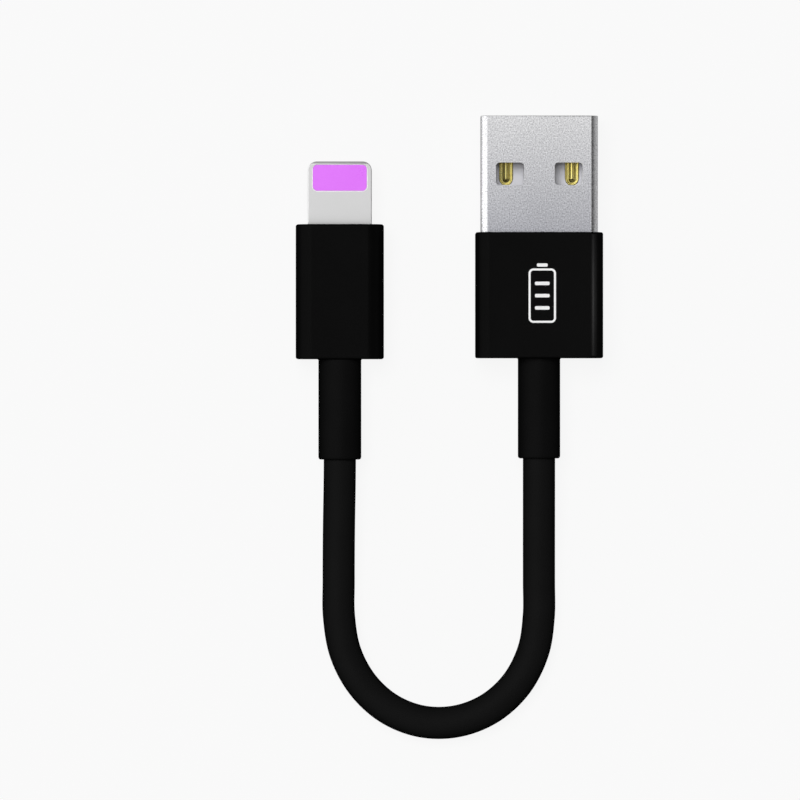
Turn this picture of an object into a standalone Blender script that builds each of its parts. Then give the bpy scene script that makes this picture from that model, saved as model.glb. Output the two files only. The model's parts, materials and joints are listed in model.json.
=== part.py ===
"""Charging cable: a USB-A plug and a reversible eight-pin phone plug on one short cord.

Metres, +Z up.  The cable lies on a flat surface at z = 0 with both plugs pointing
along +Y.  The origin is the middle of the two plug assemblies, on that surface.
Each plug is modelled about its own axis and placed by its parent empty.
"""
import math

import bmesh
import bpy
from mathutils import Vector

MM = 0.001

# Places of the two plug axes.
USB_AXIS_X = 9.20 * MM
USB_AXIS_Z = 3.0 * MM
PHONE_AXIS_X = -11.20 * MM
PHONE_AXIS_Z = 2.5 * MM

FIT = 0.05 * MM             # clearance between pieces that touch
FINE_FIT = 0.03 * MM        # clearance inside the small phone plug
CORNER_STEPS = 5            # segments in each corner of a moulded section
SIDES = 4 * (CORNER_STEPS + 1)

# USB plug.
USB_TIP = 17.58 * MM
USB_HOUSING_FRONT = 5.67 * MM
USB_HOUSING_REAR = -7.20 * MM
USB_HOUSING_WIDTH = 13.06 * MM
USB_HOUSING_HEIGHT = 6.0 * MM
USB_HOUSING_EDGE = 1.4 * MM
SLEEVE_WIDTH = 12.0 * MM
SLEEVE_HEIGHT = 4.5 * MM
SLEEVE_SHEET = 0.3 * MM
SLEEVE_BEND = 0.71 * MM
SLEEVE_REAR = 1.0 * MM
WINDOW_WIDTH = 2.85 * MM
WINDOW_LENGTH = 2.3 * MM
WINDOW_CORNER = 0.3 * MM
WINDOW_FROM_TIP = 5.95 * MM
WINDOW_OFFSET = 3.0 * MM
SEAM_WIDTH = 0.08 * MM
TONGUE_TOP = -0.25 * MM
TONGUE_BLOCK_FRONT = 8.4 * MM
POWER_CONTACT_X = 3.38 * MM
DATA_CONTACT_X = 1.0 * MM
POWER_PAD_WIDTH = 1.37 * MM
DATA_PAD_WIDTH = 1.04 * MM
CONTACTS = {
    "vbus": (POWER_CONTACT_X, POWER_PAD_WIDTH),
    "data_minus": (DATA_CONTACT_X, DATA_PAD_WIDTH),
    "data_plus": (-DATA_CONTACT_X, DATA_PAD_WIDTH),
    "ground": (-POWER_CONTACT_X, POWER_PAD_WIDTH),
}
PAD_FRONT = 16.4 * MM
PAD_REAR = 10.50 * MM
PAD_FLOOR = -0.85 * MM
PAD_EDGE = -0.30 * MM
STRIP_WIDTH = 1.0 * MM
STRIP_TOP = -0.55 * MM
TAIL_END = -0.6 * MM
USB_MOULD_FRONT = 0.9 * MM
USB_MOULD_REAR = -3.6 * MM

# Phone plug.
PHONE_TIP = 12.96 * MM
PHONE_HOUSING_FRONT = 6.50 * MM
PHONE_HOUSING_REAR = -7.30 * MM
PHONE_HOUSING_WIDTH = 9.02 * MM
PHONE_HOUSING_HEIGHT = 5.0 * MM
PHONE_HOUSING_EDGE = 1.6 * MM
FRAME_WIDTH = 6.55 * MM
FRAME_HEIGHT = 1.5 * MM
FRAME_EDGE = 0.08 * MM
FRAME_PLAN_CORNER = 0.95 * MM
FRAME_REAR = 3.1 * MM
COLLAR_FRONT = 5.22 * MM
COLLAR_WIDTH = 7.4 * MM
COLLAR_HEIGHT = 2.6 * MM
PHONE_WALL_FRONT = 1.2 * MM
PHONE_CAVITY_WIDTH = 7.94 * MM
PHONE_CAVITY_HEIGHT = 4.0 * MM
PHONE_CAVITY_EDGE = 1.1 * MM
PATCH_CENTRE = 11.27 * MM
PATCH_WIDTH = 5.52 * MM
PATCH_LENGTH = 2.66 * MM
PATCH_CORNER = 0.45 * MM
PATCH_THICKNESS = 0.05 * MM
PIN_COUNT = 8
PIN_PITCH = 0.66 * MM
PIN_WIDTH = 0.44 * MM
PIN_LENGTH = 2.2 * MM
DETENT_RADIUS = 0.6 * MM
DETENT_DEPTH = 0.22 * MM
DETENT_Y = 8.8 * MM
BOARD_THICKNESS = 0.8 * MM
BOARD_NARROW = 5.1 * MM
BOARD_WIDE = 6.9 * MM
BOARD_FRONT = 12.5 * MM
BOARD_SHOULDER = 3.0 * MM
BOARD_REAR = -1.3 * MM
CAN_FRONT = 2.9 * MM
CAN_REAR = -2.0 * MM
CAN_WIDTH = 7.7 * MM
CAN_HEIGHT = 3.7 * MM
CAN_SHEET = 0.15 * MM
PHONE_MOULD_REAR = -3.7 * MM

# Strain reliefs, both ends.
RELIEF_CHAMFER = 0.3 * MM
REAR_WALL = 1.0 * MM
FLANGE_THICKNESS = 1.0 * MM
USB_RELIEF_RADIUS = 2.165 * MM
USB_RELIEF_END = -17.46 * MM
PHONE_RELIEF_RADIUS = 2.195 * MM
PHONE_RELIEF_END = -17.58 * MM

# Cord.
JACKET_RADIUS = 1.65 * MM
JACKET_BORE = 1.25 * MM
SHIELD_RADIUS = 1.20 * MM
SHIELD_BORE = 1.05 * MM
WIRE_RADIUS = 0.36 * MM
WIRE_SPREAD = 0.38 * MM
USB_JACKET_END = -4.5 * MM
PHONE_JACKET_END = -4.3 * MM
SHIELD_BARED = 0.65 * MM
ROUTE_STEP = 3.0 * MM

# The cord's free route between the two strain reliefs, in millimetres: straight out
# of the USB plug, down to the surface, round one U-bend and up into the phone plug.
FREE_ROUTE_MM = [
    (9.200, -17.46, 3.00),
    (9.200, -20.40, 2.88),
    (9.205, -23.60, 2.42),
    (9.210, -26.80, 1.94),
    (9.215, -30.20, 1.70),
    (9.200, -33.60, 1.68),
    (8.640, -37.20, 1.68),
    (6.920, -40.60, 1.68),
    (4.200, -43.10, 1.68),
    (0.800, -44.43, 1.68),
    (-2.800, -44.45, 1.68),
    (-6.170, -43.14, 1.68),
    (-8.870, -40.68, 1.68),
    (-10.640, -37.36, 1.68),
    (-11.300, -33.60, 1.68),
    (-11.325, -30.20, 1.70),
    (-11.315, -26.80, 1.86),
    (-11.280, -23.60, 2.16),
    (-11.225, -20.50, 2.42),
    (-11.200, -17.58, 2.50),
]


# ---------------------------------------------------------------- scene and materials

def clear_scene():
    for item in list(bpy.data.objects):
        bpy.data.objects.remove(item, do_unlink=True)


def make_material(name, color, roughness, metallic=0.0):
    material = bpy.data.materials.new(name)
    material.use_nodes = True
    shader = material.node_tree.nodes["Principled BSDF"]
    shader.inputs["Base Color"].default_value = (*color, 1.0)
    shader.inputs["Roughness"].default_value = roughness
    shader.inputs["Metallic"].default_value = metallic
    material.diffuse_color = (*color, 1.0)
    return material


def make_materials():
    return {
        "housing": make_material("black_housing_plastic", (0.007, 0.007, 0.007), 0.38),
        "elastomer": make_material("black_elastomer", (0.009, 0.009, 0.009), 0.55),
        "steel": make_material("nickel_plated_steel", (0.62, 0.62, 0.63), 0.28, 1.0),
        "frame": make_material("bright_steel_frame", (0.66, 0.66, 0.66), 0.25, 1.0),
        "tongue": make_material("pale_grey_plastic", (0.48, 0.47, 0.51), 0.45),
        "gold": make_material("gold_plating", (0.72, 0.55, 0.22), 0.25, 1.0),
        "film": make_material("violet_film", (0.76, 0.21, 0.95), 0.35),
        "carrier": make_material("dark_contact_carrier", (0.02, 0.02, 0.022), 0.5),
        "board": make_material("green_circuit_board", (0.01, 0.12, 0.05), 0.45),
        "chip": make_material("black_chip_resin", (0.015, 0.015, 0.017), 0.5),
        "ceramic": make_material("tan_ceramic", (0.42, 0.30, 0.19), 0.5),
        "mould": make_material("natural_polyethylene", (0.70, 0.69, 0.64), 0.5),
        "braid": make_material("tinned_copper_braid", (0.66, 0.60, 0.55), 0.4, 1.0),
        "red": make_material("red_wire_insulation", (0.55, 0.02, 0.02), 0.45),
        "white": make_material("white_wire_insulation", (0.75, 0.75, 0.73), 0.45),
        "green": make_material("green_wire_insulation", (0.03, 0.32, 0.08), 0.45),
        "black": make_material("black_wire_insulation", (0.02, 0.02, 0.02), 0.45),
    }


# ---------------------------------------------------------------- outlines and bodies

def circle(radius, sides=SIDES):
    angles = [2.0 * math.pi * (i + 0.5) / sides for i in range(sides)]
    return [(radius * math.cos(a), radius * math.sin(a)) for a in angles]


def rounded_rectangle(width, height, corner, steps=CORNER_STEPS):
    """Outline with a quarter circle in each corner, counter-clockwise from +X."""
    signs = [(1, 1), (-1, 1), (-1, -1), (1, -1)]
    points = []
    for quarter, (sx, sy) in enumerate(signs):
        centre_x = sx * (width / 2 - corner)
        centre_y = sy * (height / 2 - corner)
        for i in range(steps + 1):
            angle = math.radians(90.0) * (quarter + i / steps)
            points.append((centre_x + corner * math.cos(angle), centre_y + corner * math.sin(angle)))
    return points


def section(outline, y, z=0.0):
    """An outline stood across the plug's axis at y."""
    return [Vector((u, y, v + z)) for u, v in outline]


def layer(outline, z, x=0.0, y=0.0):
    """An outline laid flat at height z."""
    return [Vector((u + x, v + y, z)) for u, v in outline]


def strip_of_faces(bm, rings):
    loops = [[bm.verts.new(point) for point in ring] for ring in rings]
    count = len(loops[0])
    for first, second in zip(loops, loops[1:]):
        for i in range(count):
            j = (i + 1) % count
            bm.faces.new((first[i], first[j], second[j], second[i]))
    return loops


def finish_mesh(name, bm):
    bmesh.ops.recalc_face_normals(bm, faces=bm.faces)
    mesh = bpy.data.meshes.new(name)
    bm.to_mesh(mesh)
    bm.free()
    mesh.shade_smooth()
    mesh.set_sharp_from_angle(angle=math.radians(32.0))
    return mesh


def solid_mesh(name, rings):
    """A closed body lofted through rings of equal point count."""
    bm = bmesh.new()
    loops = strip_of_faces(bm, rings)
    bm.faces.new(loops[0])
    bm.faces.new(loops[-1])
    return finish_mesh(name, bm)


def hollow_mesh(name, outer_rings, inner_rings):
    """A closed body with a way through it: both lists run from front to rear."""
    bm = bmesh.new()
    outer = strip_of_faces(bm, outer_rings)
    inner = strip_of_faces(bm, inner_rings)
    count = len(outer[0])
    for outside, inside in ((outer[0], inner[0]), (outer[-1], inner[-1])):
        for i in range(count):
            j = (i + 1) % count
            bm.faces.new((outside[i], outside[j], inside[j], inside[i]))
    return finish_mesh(name, bm)


def boxes_mesh(name, boxes):
    """Separate boxes in one mesh: each is (centre, size)."""
    bm = bmesh.new()
    for centre, size in boxes:
        corners = bmesh.ops.create_cube(bm, size=1.0)["verts"]
        for vertex in corners:
            vertex.co = Vector([c + s * v for c, s, v in zip(centre, size, vertex.co)])
    return finish_mesh(name, bm)


def place(name, mesh, material, parent):
    item = bpy.data.objects.new(name, mesh)
    bpy.context.scene.collection.objects.link(item)
    item.parent = parent
    if material is not None:
        mesh.materials.clear()
        mesh.materials.append(material)
    return item


def make_cutter(name, mesh, parent):
    cutter = place(name, mesh, None, parent)
    cutter.hide_render = True
    cutter.display_type = "WIRE"
    return cutter


def combine(item, operand, operation="DIFFERENCE"):
    modifier = item.modifiers.new(operand.name, "BOOLEAN")
    modifier.operation = operation
    modifier.solver = "EXACT"
    modifier.object = operand


def make_axis(name, x, z):
    axis = bpy.data.objects.new(name, None)
    bpy.context.scene.collection.objects.link(axis)
    axis.location = (x, 0.0, z)
    return axis


# ---------------------------------------------------------------- shared plug shapes

def filleted_block(width, height, corner, front, rear, fillet, steps=3):
    """Rings of a long rounded block whose two end edges carry a small fillet."""
    rings = []
    for end, inward in ((front, -1), (rear, 1)):
        turns = range(steps + 1) if end == front else range(steps, -1, -1)
        for i in turns:
            angle = math.radians(90.0) * i / steps
            inset = fillet * (1 - math.sin(angle))
            y = end + inward * fillet * (1 - math.cos(angle))
            outline = rounded_rectangle(width - 2 * inset, height - 2 * inset, corner - inset)
            rings.append(section(outline, y))
    return rings


def relief_mesh(name, radius, rear_wall_inner, end, flange_width, flange_height, flange_corner):
    """Strain relief: a flange behind the housing's rear wall and a straight sleeve."""
    flange_rear = rear_wall_inner + FIT
    flange = rounded_rectangle(flange_width, flange_height, flange_corner)
    outer = [
        section(flange, flange_rear + FLANGE_THICKNESS),
        section(flange, flange_rear),
        section(circle(radius), flange_rear),
        section(circle(radius), end + RELIEF_CHAMFER),
        section(circle(radius - RELIEF_CHAMFER * 0.4), end + RELIEF_CHAMFER * 0.25),
        section(circle(radius - RELIEF_CHAMFER * 0.75), end),
    ]
    bore = circle(JACKET_RADIUS + FIT)
    inner = [section(bore, flange_rear + FLANGE_THICKNESS), section(bore, end)]
    return hollow_mesh(name, outer, inner)


def crimp_mesh(name, jacket_end, outer_radius):
    """Ferrule: its wide end grips the jacket and its narrow end the bared shield."""
    step = jacket_end + FIT
    wide_end = jacket_end - 0.5 * MM
    narrow_end = jacket_end + SHIELD_BARED - 0.1 * MM
    neck_radius = outer_radius - 0.38 * MM
    outer = [
        section(circle(neck_radius), narrow_end),
        section(circle(neck_radius), step + 0.2 * MM),
        section(circle(outer_radius), step + 0.08 * MM),
        section(circle(outer_radius), wide_end),
    ]
    inner = [
        section(circle(SHIELD_RADIUS + 0.07 * MM), narrow_end),
        section(circle(SHIELD_RADIUS + 0.07 * MM), step),
        section(circle(JACKET_RADIUS + FIT), step),
        section(circle(JACKET_RADIUS + FIT), wide_end),
    ]
    return hollow_mesh(name, outer, inner)


# ---------------------------------------------------------------- USB plug

def usb_cavity(extra):
    width = SLEEVE_WIDTH + 2 * extra
    height = SLEEVE_HEIGHT + 2 * extra
    return rounded_rectangle(width, height, SLEEVE_BEND + extra)


def make_usb_housing(parent, material):
    outer = filleted_block(USB_HOUSING_WIDTH, USB_HOUSING_HEIGHT, USB_HOUSING_EDGE,
                           USB_HOUSING_FRONT, USB_HOUSING_REAR, 0.2 * MM)
    cavity_rear = USB_HOUSING_REAR + REAR_WALL
    hole = circle(USB_RELIEF_RADIUS + FINE_FIT)
    inner = [
        section(usb_cavity(FIT), USB_HOUSING_FRONT),
        section(usb_cavity(FIT), cavity_rear),
        section(hole, cavity_rear),
        section(hole, USB_HOUSING_REAR),
    ]
    return place("usb_housing", hollow_mesh("usb_housing", outer, inner), material, parent)


def make_usb_relief(parent, material):
    mesh = relief_mesh("usb_strain_relief", USB_RELIEF_RADIUS, USB_HOUSING_REAR + REAR_WALL,
                       USB_RELIEF_END, 7.0 * MM, 4.4 * MM, 1.5 * MM)
    return place("usb_strain_relief", mesh, material, parent)


def ribbon_outline(points, width):
    """Outline of a thin line of given width that follows the points."""
    left = []
    right = []
    for i, point in enumerate(points):
        before = Vector(points[max(i - 1, 0)])
        after = Vector(points[min(i + 1, len(points) - 1)])
        here = Vector(point)
        into = (here - before).normalized() if i > 0 else (after - here).normalized()
        out = (after - here).normalized() if i < len(points) - 1 else into
        across = Vector((-into.y - out.y, into.x + out.x)).normalized()
        reach = width / 2 / max(0.3, across.dot(Vector((-into.y, into.x))))
        left.append(here + across * reach)
        right.append(here - across * reach)
    return [tuple(p) for p in left + right[::-1]]


def seam_cutter_mesh():
    """The joint of the folded sheet, with one dovetail key, along the underside."""
    key_half = 1.1 * MM
    key_depth = 0.9 * MM
    flare = 0.35 * MM
    key_y = 8.9 * MM
    line = [
        (0.0, USB_TIP + MM),
        (0.0, key_y + key_half),
        (-key_depth, key_y + key_half + flare),
        (-key_depth, key_y - key_half - flare),
        (0.0, key_y - key_half),
        (0.0, SLEEVE_REAR - MM),
    ]
    outline = ribbon_outline(line, SEAM_WIDTH)
    low = -SLEEVE_HEIGHT / 2 - MM
    return solid_mesh("usb_seam_cutter", [layer(outline, low), layer(outline, low + 1.6 * MM)])


def make_usb_sleeve(parent, material):
    """Sheet-metal sleeve, folded round into a rectangle, with windows in both faces."""
    inner_width = SLEEVE_WIDTH - 2 * SLEEVE_SHEET
    inner_height = SLEEVE_HEIGHT - 2 * SLEEVE_SHEET
    inner_bend = SLEEVE_BEND - SLEEVE_SHEET
    lead = 0.1 * MM
    outer = [
        section(usb_cavity(-lead), USB_TIP),
        section(usb_cavity(0.0), USB_TIP - lead),
        section(usb_cavity(0.0), SLEEVE_REAR),
    ]
    mouth = rounded_rectangle(inner_width + lead, inner_height + lead, inner_bend + lead / 2)
    bore = rounded_rectangle(inner_width, inner_height, inner_bend)
    inner = [
        section(mouth, USB_TIP),
        section(bore, USB_TIP - 2 * lead),
        section(bore, SLEEVE_REAR),
    ]
    sleeve = place("usb_sleeve", hollow_mesh("usb_sleeve", outer, inner), material, parent)
    window = rounded_rectangle(WINDOW_WIDTH, WINDOW_LENGTH, WINDOW_CORNER, 3)
    for side, x in (("left", -WINDOW_OFFSET), ("right", WINDOW_OFFSET)):
        rings = [layer(window, z, x, USB_TIP - WINDOW_FROM_TIP) for z in (-3 * MM, 3 * MM)]
        combine(sleeve, make_cutter("window_cutter_" + side, solid_mesh("window", rings), parent))
    combine(sleeve, make_cutter("seam_cutter", seam_cutter_mesh(), parent))
    return sleeve


def pill(width, front, rear, inset=0.0, steps=6):
    """Straight-sided outline with half-round ends between two places along the axis."""
    radius = width / 2 - inset
    ends = [(front - width / 2, 0.0), (rear + width / 2, 180.0)]
    points = []
    for y, start in ends:
        for i in range(steps + 1):
            angle = math.radians(start + 180.0 * i / steps)
            points.append((radius * math.cos(angle), y + radius * math.sin(angle)))
    return points


def make_usb_tongue(parent, material):
    """Plastic insert: a slab under the hollow and a full-height block behind it."""
    width = SLEEVE_WIDTH - 2 * SLEEVE_SHEET - 2 * FIT
    height = SLEEVE_HEIGHT - 2 * SLEEVE_SHEET - 2 * FIT
    corner = SLEEVE_BEND - SLEEVE_SHEET
    front = USB_TIP - 0.5 * MM
    rear = SLEEVE_REAR + 0.1 * MM
    block = rounded_rectangle(width, height, corner)
    nose = rounded_rectangle(width - 0.4 * MM, height - 0.4 * MM, corner)
    rings = [section(nose, front), section(block, front - 0.3 * MM), section(block, rear)]
    tongue = place("usb_tongue", solid_mesh("usb_tongue", rings), material, parent)
    hollow_length = USB_TIP + MM - TONGUE_BLOCK_FRONT
    hollow_centre = (0.0, TONGUE_BLOCK_FRONT + hollow_length / 2, TONGUE_TOP + height / 2)
    hollow = [(hollow_centre, (SLEEVE_WIDTH, hollow_length, height))]
    combine(tongue, make_cutter("hollow_cutter", boxes_mesh("hollow", hollow), parent))
    tunnel_front = PAD_REAR + MM
    tunnel_rear = rear - MM
    tunnel_size = (STRIP_WIDTH + 2 * FIT, tunnel_front - tunnel_rear, STRIP_TOP - PAD_FLOOR + 2 * FIT)
    for name, (x, pad_width) in CONTACTS.items():
        recess = pill(pad_width + 2 * FIT, PAD_FRONT + FIT, PAD_REAR - FIT)
        rings = [layer(recess, PAD_FLOOR - FIT, x), layer(recess, MM, x)]
        cutter = make_cutter("recess_cutter_" + name, solid_mesh("recess", rings), parent)
        combine(tongue, cutter)
        centre = (x, (tunnel_front + tunnel_rear) / 2, (STRIP_TOP + PAD_FLOOR) / 2)
        tunnel = boxes_mesh("tunnel", [(centre, tunnel_size)])
        combine(tongue, make_cutter("tunnel_cutter_" + name, tunnel, parent))
    return tongue


def make_usb_contacts(parent, material):
    """Four contacts: a crowned pad on the tongue and a strip back to its solder tail."""
    crown = 0.25 * MM
    levels = [(0.0, PAD_FLOOR), (0.0, PAD_EDGE), (0.2, PAD_EDGE + 0.45 * crown),
              (0.45, PAD_EDGE + 0.85 * crown), (0.75, PAD_EDGE + crown)]
    strip_front = PAD_REAR + 0.9 * MM
    strip_size = (STRIP_WIDTH, strip_front - TAIL_END, STRIP_TOP - PAD_FLOOR - 0.02 * MM)
    strip_centre = Vector((0.0, (strip_front + TAIL_END) / 2, (STRIP_TOP + PAD_FLOOR) / 2 + 0.01 * MM))
    for name, (x, pad_width) in CONTACTS.items():
        rings = [layer(pill(pad_width, PAD_FRONT, PAD_REAR, inset * pad_width / 2), z, x)
                 for inset, z in levels]
        contact = place("usb_contact_" + name, solid_mesh("usb_contact", rings), material, parent)
        strip = boxes_mesh("strip", [(strip_centre + Vector((x, 0.0, 0.0)), strip_size)])
        combine(contact, make_cutter("strip_" + name, strip, parent), "UNION")


def make_usb_inner_mould(parent, material):
    """Pre-moulded block behind the sleeve, open inside round the soldered wires."""
    block = usb_cavity(-FIT)
    outer = [section(block, USB_MOULD_FRONT), section(block, USB_MOULD_REAR)]
    low = -0.15 * MM
    inner = [
        section(rounded_rectangle(9.4 * MM, 2.4 * MM, 0.6 * MM), USB_MOULD_FRONT, low),
        section(rounded_rectangle(9.2 * MM, 2.6 * MM, 0.7 * MM), -1.6 * MM, low),
        section(rounded_rectangle(4.4 * MM, 3.2 * MM, 1.2 * MM), USB_MOULD_REAR),
    ]
    mesh = hollow_mesh("usb_inner_mould", outer, inner)
    return place("usb_inner_mould", mesh, material, parent)


def make_usb_crimp(parent, material):
    mesh = crimp_mesh("usb_cable_crimp", USB_JACKET_END, 2.0 * MM)
    return place("usb_cable_crimp", mesh, material, parent)


# ---------------------------------------------------------------- phone plug

def make_phone_housing(parent, material):
    outer = filleted_block(PHONE_HOUSING_WIDTH, PHONE_HOUSING_HEIGHT, PHONE_HOUSING_EDGE,
                           PHONE_HOUSING_FRONT, PHONE_HOUSING_REAR, 0.24 * MM)
    slot = rounded_rectangle(FRAME_WIDTH + 2 * FIT, FRAME_HEIGHT + 2 * FIT, FRAME_EDGE + FIT)
    cavity = rounded_rectangle(PHONE_CAVITY_WIDTH, PHONE_CAVITY_HEIGHT, PHONE_CAVITY_EDGE)
    hole = circle(PHONE_RELIEF_RADIUS + FINE_FIT)
    wall_inner = PHONE_HOUSING_FRONT - PHONE_WALL_FRONT
    cavity_rear = PHONE_HOUSING_REAR + REAR_WALL
    inner = [
        section(slot, PHONE_HOUSING_FRONT),
        section(slot, wall_inner),
        section(cavity, wall_inner),
        section(cavity, cavity_rear),
        section(hole, cavity_rear),
        section(hole, PHONE_HOUSING_REAR),
    ]
    return place("phone_housing", hollow_mesh("phone_housing", outer, inner), material, parent)


def make_phone_relief(parent, material):
    mesh = relief_mesh("phone_strain_relief", PHONE_RELIEF_RADIUS, PHONE_HOUSING_REAR + REAR_WALL,
                       PHONE_RELIEF_END, 6.4 * MM, 3.8 * MM, 1.2 * MM)
    return place("phone_strain_relief", mesh, material, parent)


def frame_rings():
    """Tongue with round plan corners and a rounded nose, then the collar behind it."""
    nose = 0.35 * MM
    rings = []
    for angle in (0.0, 15.0, 30.0, 45.0, 65.0, 90.0):
        depth = FRAME_PLAN_CORNER * (1 - math.cos(math.radians(angle)))
        width = FRAME_WIDTH - 2 * FRAME_PLAN_CORNER * (1 - math.sin(math.radians(angle)))
        short = max(nose - depth, 0.0)
        height = FRAME_HEIGHT - 2 * (nose - math.sqrt(nose * nose - short * short))
        corner = min(FRAME_EDGE, height / 2 - 0.02 * MM)
        rings.append(section(rounded_rectangle(width, height, corner), PHONE_TIP - depth))
    blade = rounded_rectangle(FRAME_WIDTH, FRAME_HEIGHT, FRAME_EDGE)
    collar = rounded_rectangle(COLLAR_WIDTH, COLLAR_HEIGHT, 0.9 * MM)
    rings.append(section(blade, COLLAR_FRONT))
    rings.append(section(collar, COLLAR_FRONT))
    rings.append(section(collar, FRAME_REAR))
    return rings


def make_phone_frame(parent, material):
    """Metal frame: a window through its tongue, a slot for the board, two detents."""
    frame = place("phone_plug_frame", solid_mesh("phone_plug_frame", frame_rings()), material, parent)
    gap = 0.07 * MM
    window = rounded_rectangle(PATCH_WIDTH + 2 * gap, PATCH_LENGTH + 2 * gap, PATCH_CORNER + gap, 4)
    rings = [layer(window, z, 0.0, PATCH_CENTRE) for z in (-2 * MM, 2 * MM)]
    combine(frame, make_cutter("patch_cutter", solid_mesh("patch_window", rings), parent))
    slot_front = PATCH_CENTRE + 0.7 * MM
    slot_rear = FRAME_REAR - MM
    slot_size = (BOARD_NARROW + 2 * FIT, slot_front - slot_rear, BOARD_THICKNESS + 2 * FINE_FIT)
    slot = boxes_mesh("board_slot", [((0.0, (slot_front + slot_rear) / 2, 0.0), slot_size)])
    combine(frame, make_cutter("board_slot_cutter", slot, parent))
    reach = FRAME_WIDTH / 2 + DETENT_RADIUS - DETENT_DEPTH
    for side, x in (("left", -reach), ("right", reach)):
        bm = bmesh.new()
        bmesh.ops.create_icosphere(bm, subdivisions=2, radius=DETENT_RADIUS)
        bmesh.ops.translate(bm, verts=bm.verts, vec=(x, DETENT_Y, 0.0))
        combine(frame, make_cutter("detent_cutter_" + side, finish_mesh("detent", bm), parent))
    return frame


def pin_places():
    first = -PIN_PITCH * (PIN_COUNT - 1) / 2
    return [first + PIN_PITCH * i for i in range(PIN_COUNT)]


def make_phone_contacts(parent, gold, carrier_plastic):
    """On each face of the board: a thin slotted carrier and eight contact blocks."""
    outline = rounded_rectangle(PATCH_WIDTH + 2 * FINE_FIT, PATCH_LENGTH + 2 * FINE_FIT, PATCH_CORNER, 4)
    low = BOARD_THICKNESS / 2 + FINE_FIT
    high = FRAME_HEIGHT / 2 - FIT
    pin_height = high - low + 0.01 * MM
    slot_size = (PIN_WIDTH + 0.06 * MM, PIN_LENGTH + 0.06 * MM, MM)
    pin_size = (PIN_WIDTH, PIN_LENGTH, pin_height)
    pin_mesh = boxes_mesh("phone_contact", [((0.0, 0.0, 0.0), pin_size)])
    for face, sign in (("top", 1), ("bottom", -1)):
        rings = [layer(outline, sign * z, 0.0, PATCH_CENTRE) for z in (low, high)]
        name = "phone_contact_carrier_" + face
        carrier = place(name, solid_mesh(name, rings), carrier_plastic, parent)
        slots = [((x, PATCH_CENTRE, sign * (low + high) / 2), slot_size) for x in pin_places()]
        combine(carrier, make_cutter("pin_slots_" + face, boxes_mesh("pin_slots", slots), parent))
        for number, x in enumerate(pin_places(), 1):
            pin = place("phone_contact_%s_%d" % (face, number), pin_mesh, gold, parent)
            pin.location = (x, PATCH_CENTRE, sign * (low + pin_height / 2))


def make_contact_film(parent, material):
    """Violet film over the upper contacts, standing a little proud of the frame."""
    low = FRAME_HEIGHT / 2 - 0.02 * MM
    outline = rounded_rectangle(PATCH_WIDTH, PATCH_LENGTH, PATCH_CORNER, 4)
    rings = [layer(outline, z, 0.0, PATCH_CENTRE) for z in (low, low + PATCH_THICKNESS)]
    mesh = solid_mesh("phone_contact_film", rings)
    return place("phone_contact_film", mesh, material, parent)


def make_circuit_board(parent, material):
    narrow = BOARD_NARROW / 2
    wide = BOARD_WIDE / 2
    outline = [
        (narrow, BOARD_FRONT),
        (-narrow, BOARD_FRONT),
        (-narrow, BOARD_SHOULDER),
        (-wide, BOARD_SHOULDER),
        (-wide, BOARD_REAR),
        (wide, BOARD_REAR),
        (wide, BOARD_SHOULDER),
        (narrow, BOARD_SHOULDER),
    ]
    half = BOARD_THICKNESS / 2
    mesh = solid_mesh("phone_circuit_board", [layer(outline, -half), layer(outline, half)])
    return place("phone_circuit_board", mesh, material, parent)


def on_board(x, y, width, length, height, face=1):
    """A block standing on one face of the board, a small clearance away."""
    centre_z = face * (BOARD_THICKNESS / 2 + FINE_FIT + height / 2)
    return ((x, y, centre_z), (width, length, height))


def make_board_parts(parent, chip, ceramic):
    controller = on_board(-0.5 * MM, 1.1 * MM, 2.8 * MM, 2.6 * MM, 0.75 * MM)
    place("phone_controller_chip", boxes_mesh("phone_controller_chip", [controller]), chip, parent)
    switch = on_board(0.4 * MM, 1.2 * MM, 1.9 * MM, 1.5 * MM, 0.6 * MM, -1)
    place("phone_power_switch_chip", boxes_mesh("phone_power_switch_chip", [switch]), chip, parent)
    size = (0.5 * MM, 1.0 * MM, 0.5 * MM)
    capacitors = [on_board(x, 1.6 * MM, *size) for x in (1.9 * MM, 2.65 * MM)]
    capacitors += [on_board(x, 0.4 * MM, *size, -1) for x in (-2.7 * MM, 2.7 * MM)]
    for number, block in enumerate(capacitors, 1):
        name = "phone_capacitor_%d" % number
        place(name, boxes_mesh(name, [block]), ceramic, parent)


def make_shield_can(parent, material):
    outer = rounded_rectangle(CAN_WIDTH, CAN_HEIGHT, 0.9 * MM)
    inner = rounded_rectangle(CAN_WIDTH - 2 * CAN_SHEET, CAN_HEIGHT - 2 * CAN_SHEET, 0.75 * MM)
    mesh = hollow_mesh("phone_shield_can",
                       [section(outer, CAN_FRONT), section(outer, CAN_REAR)],
                       [section(inner, CAN_FRONT), section(inner, CAN_REAR)])
    return place("phone_shield_can", mesh, material, parent)


def make_phone_inner_mould(parent, material):
    front = CAN_REAR - FIT
    block = rounded_rectangle(CAN_WIDTH, CAN_HEIGHT, 0.9 * MM)
    inner = [
        section(rounded_rectangle(5.0 * MM, 2.8 * MM, 1.0 * MM), front),
        section(rounded_rectangle(3.2 * MM, 2.8 * MM, 1.35 * MM), PHONE_MOULD_REAR),
    ]
    outer = [section(block, front), section(block, PHONE_MOULD_REAR)]
    mesh = hollow_mesh("phone_inner_mould", outer, inner)
    return place("phone_inner_mould", mesh, material, parent)


def make_phone_crimp(parent, material):
    mesh = crimp_mesh("phone_cable_crimp", PHONE_JACKET_END, 1.9 * MM)
    return place("phone_cable_crimp", mesh, material, parent)


# ---------------------------------------------------------------- cord

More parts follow.
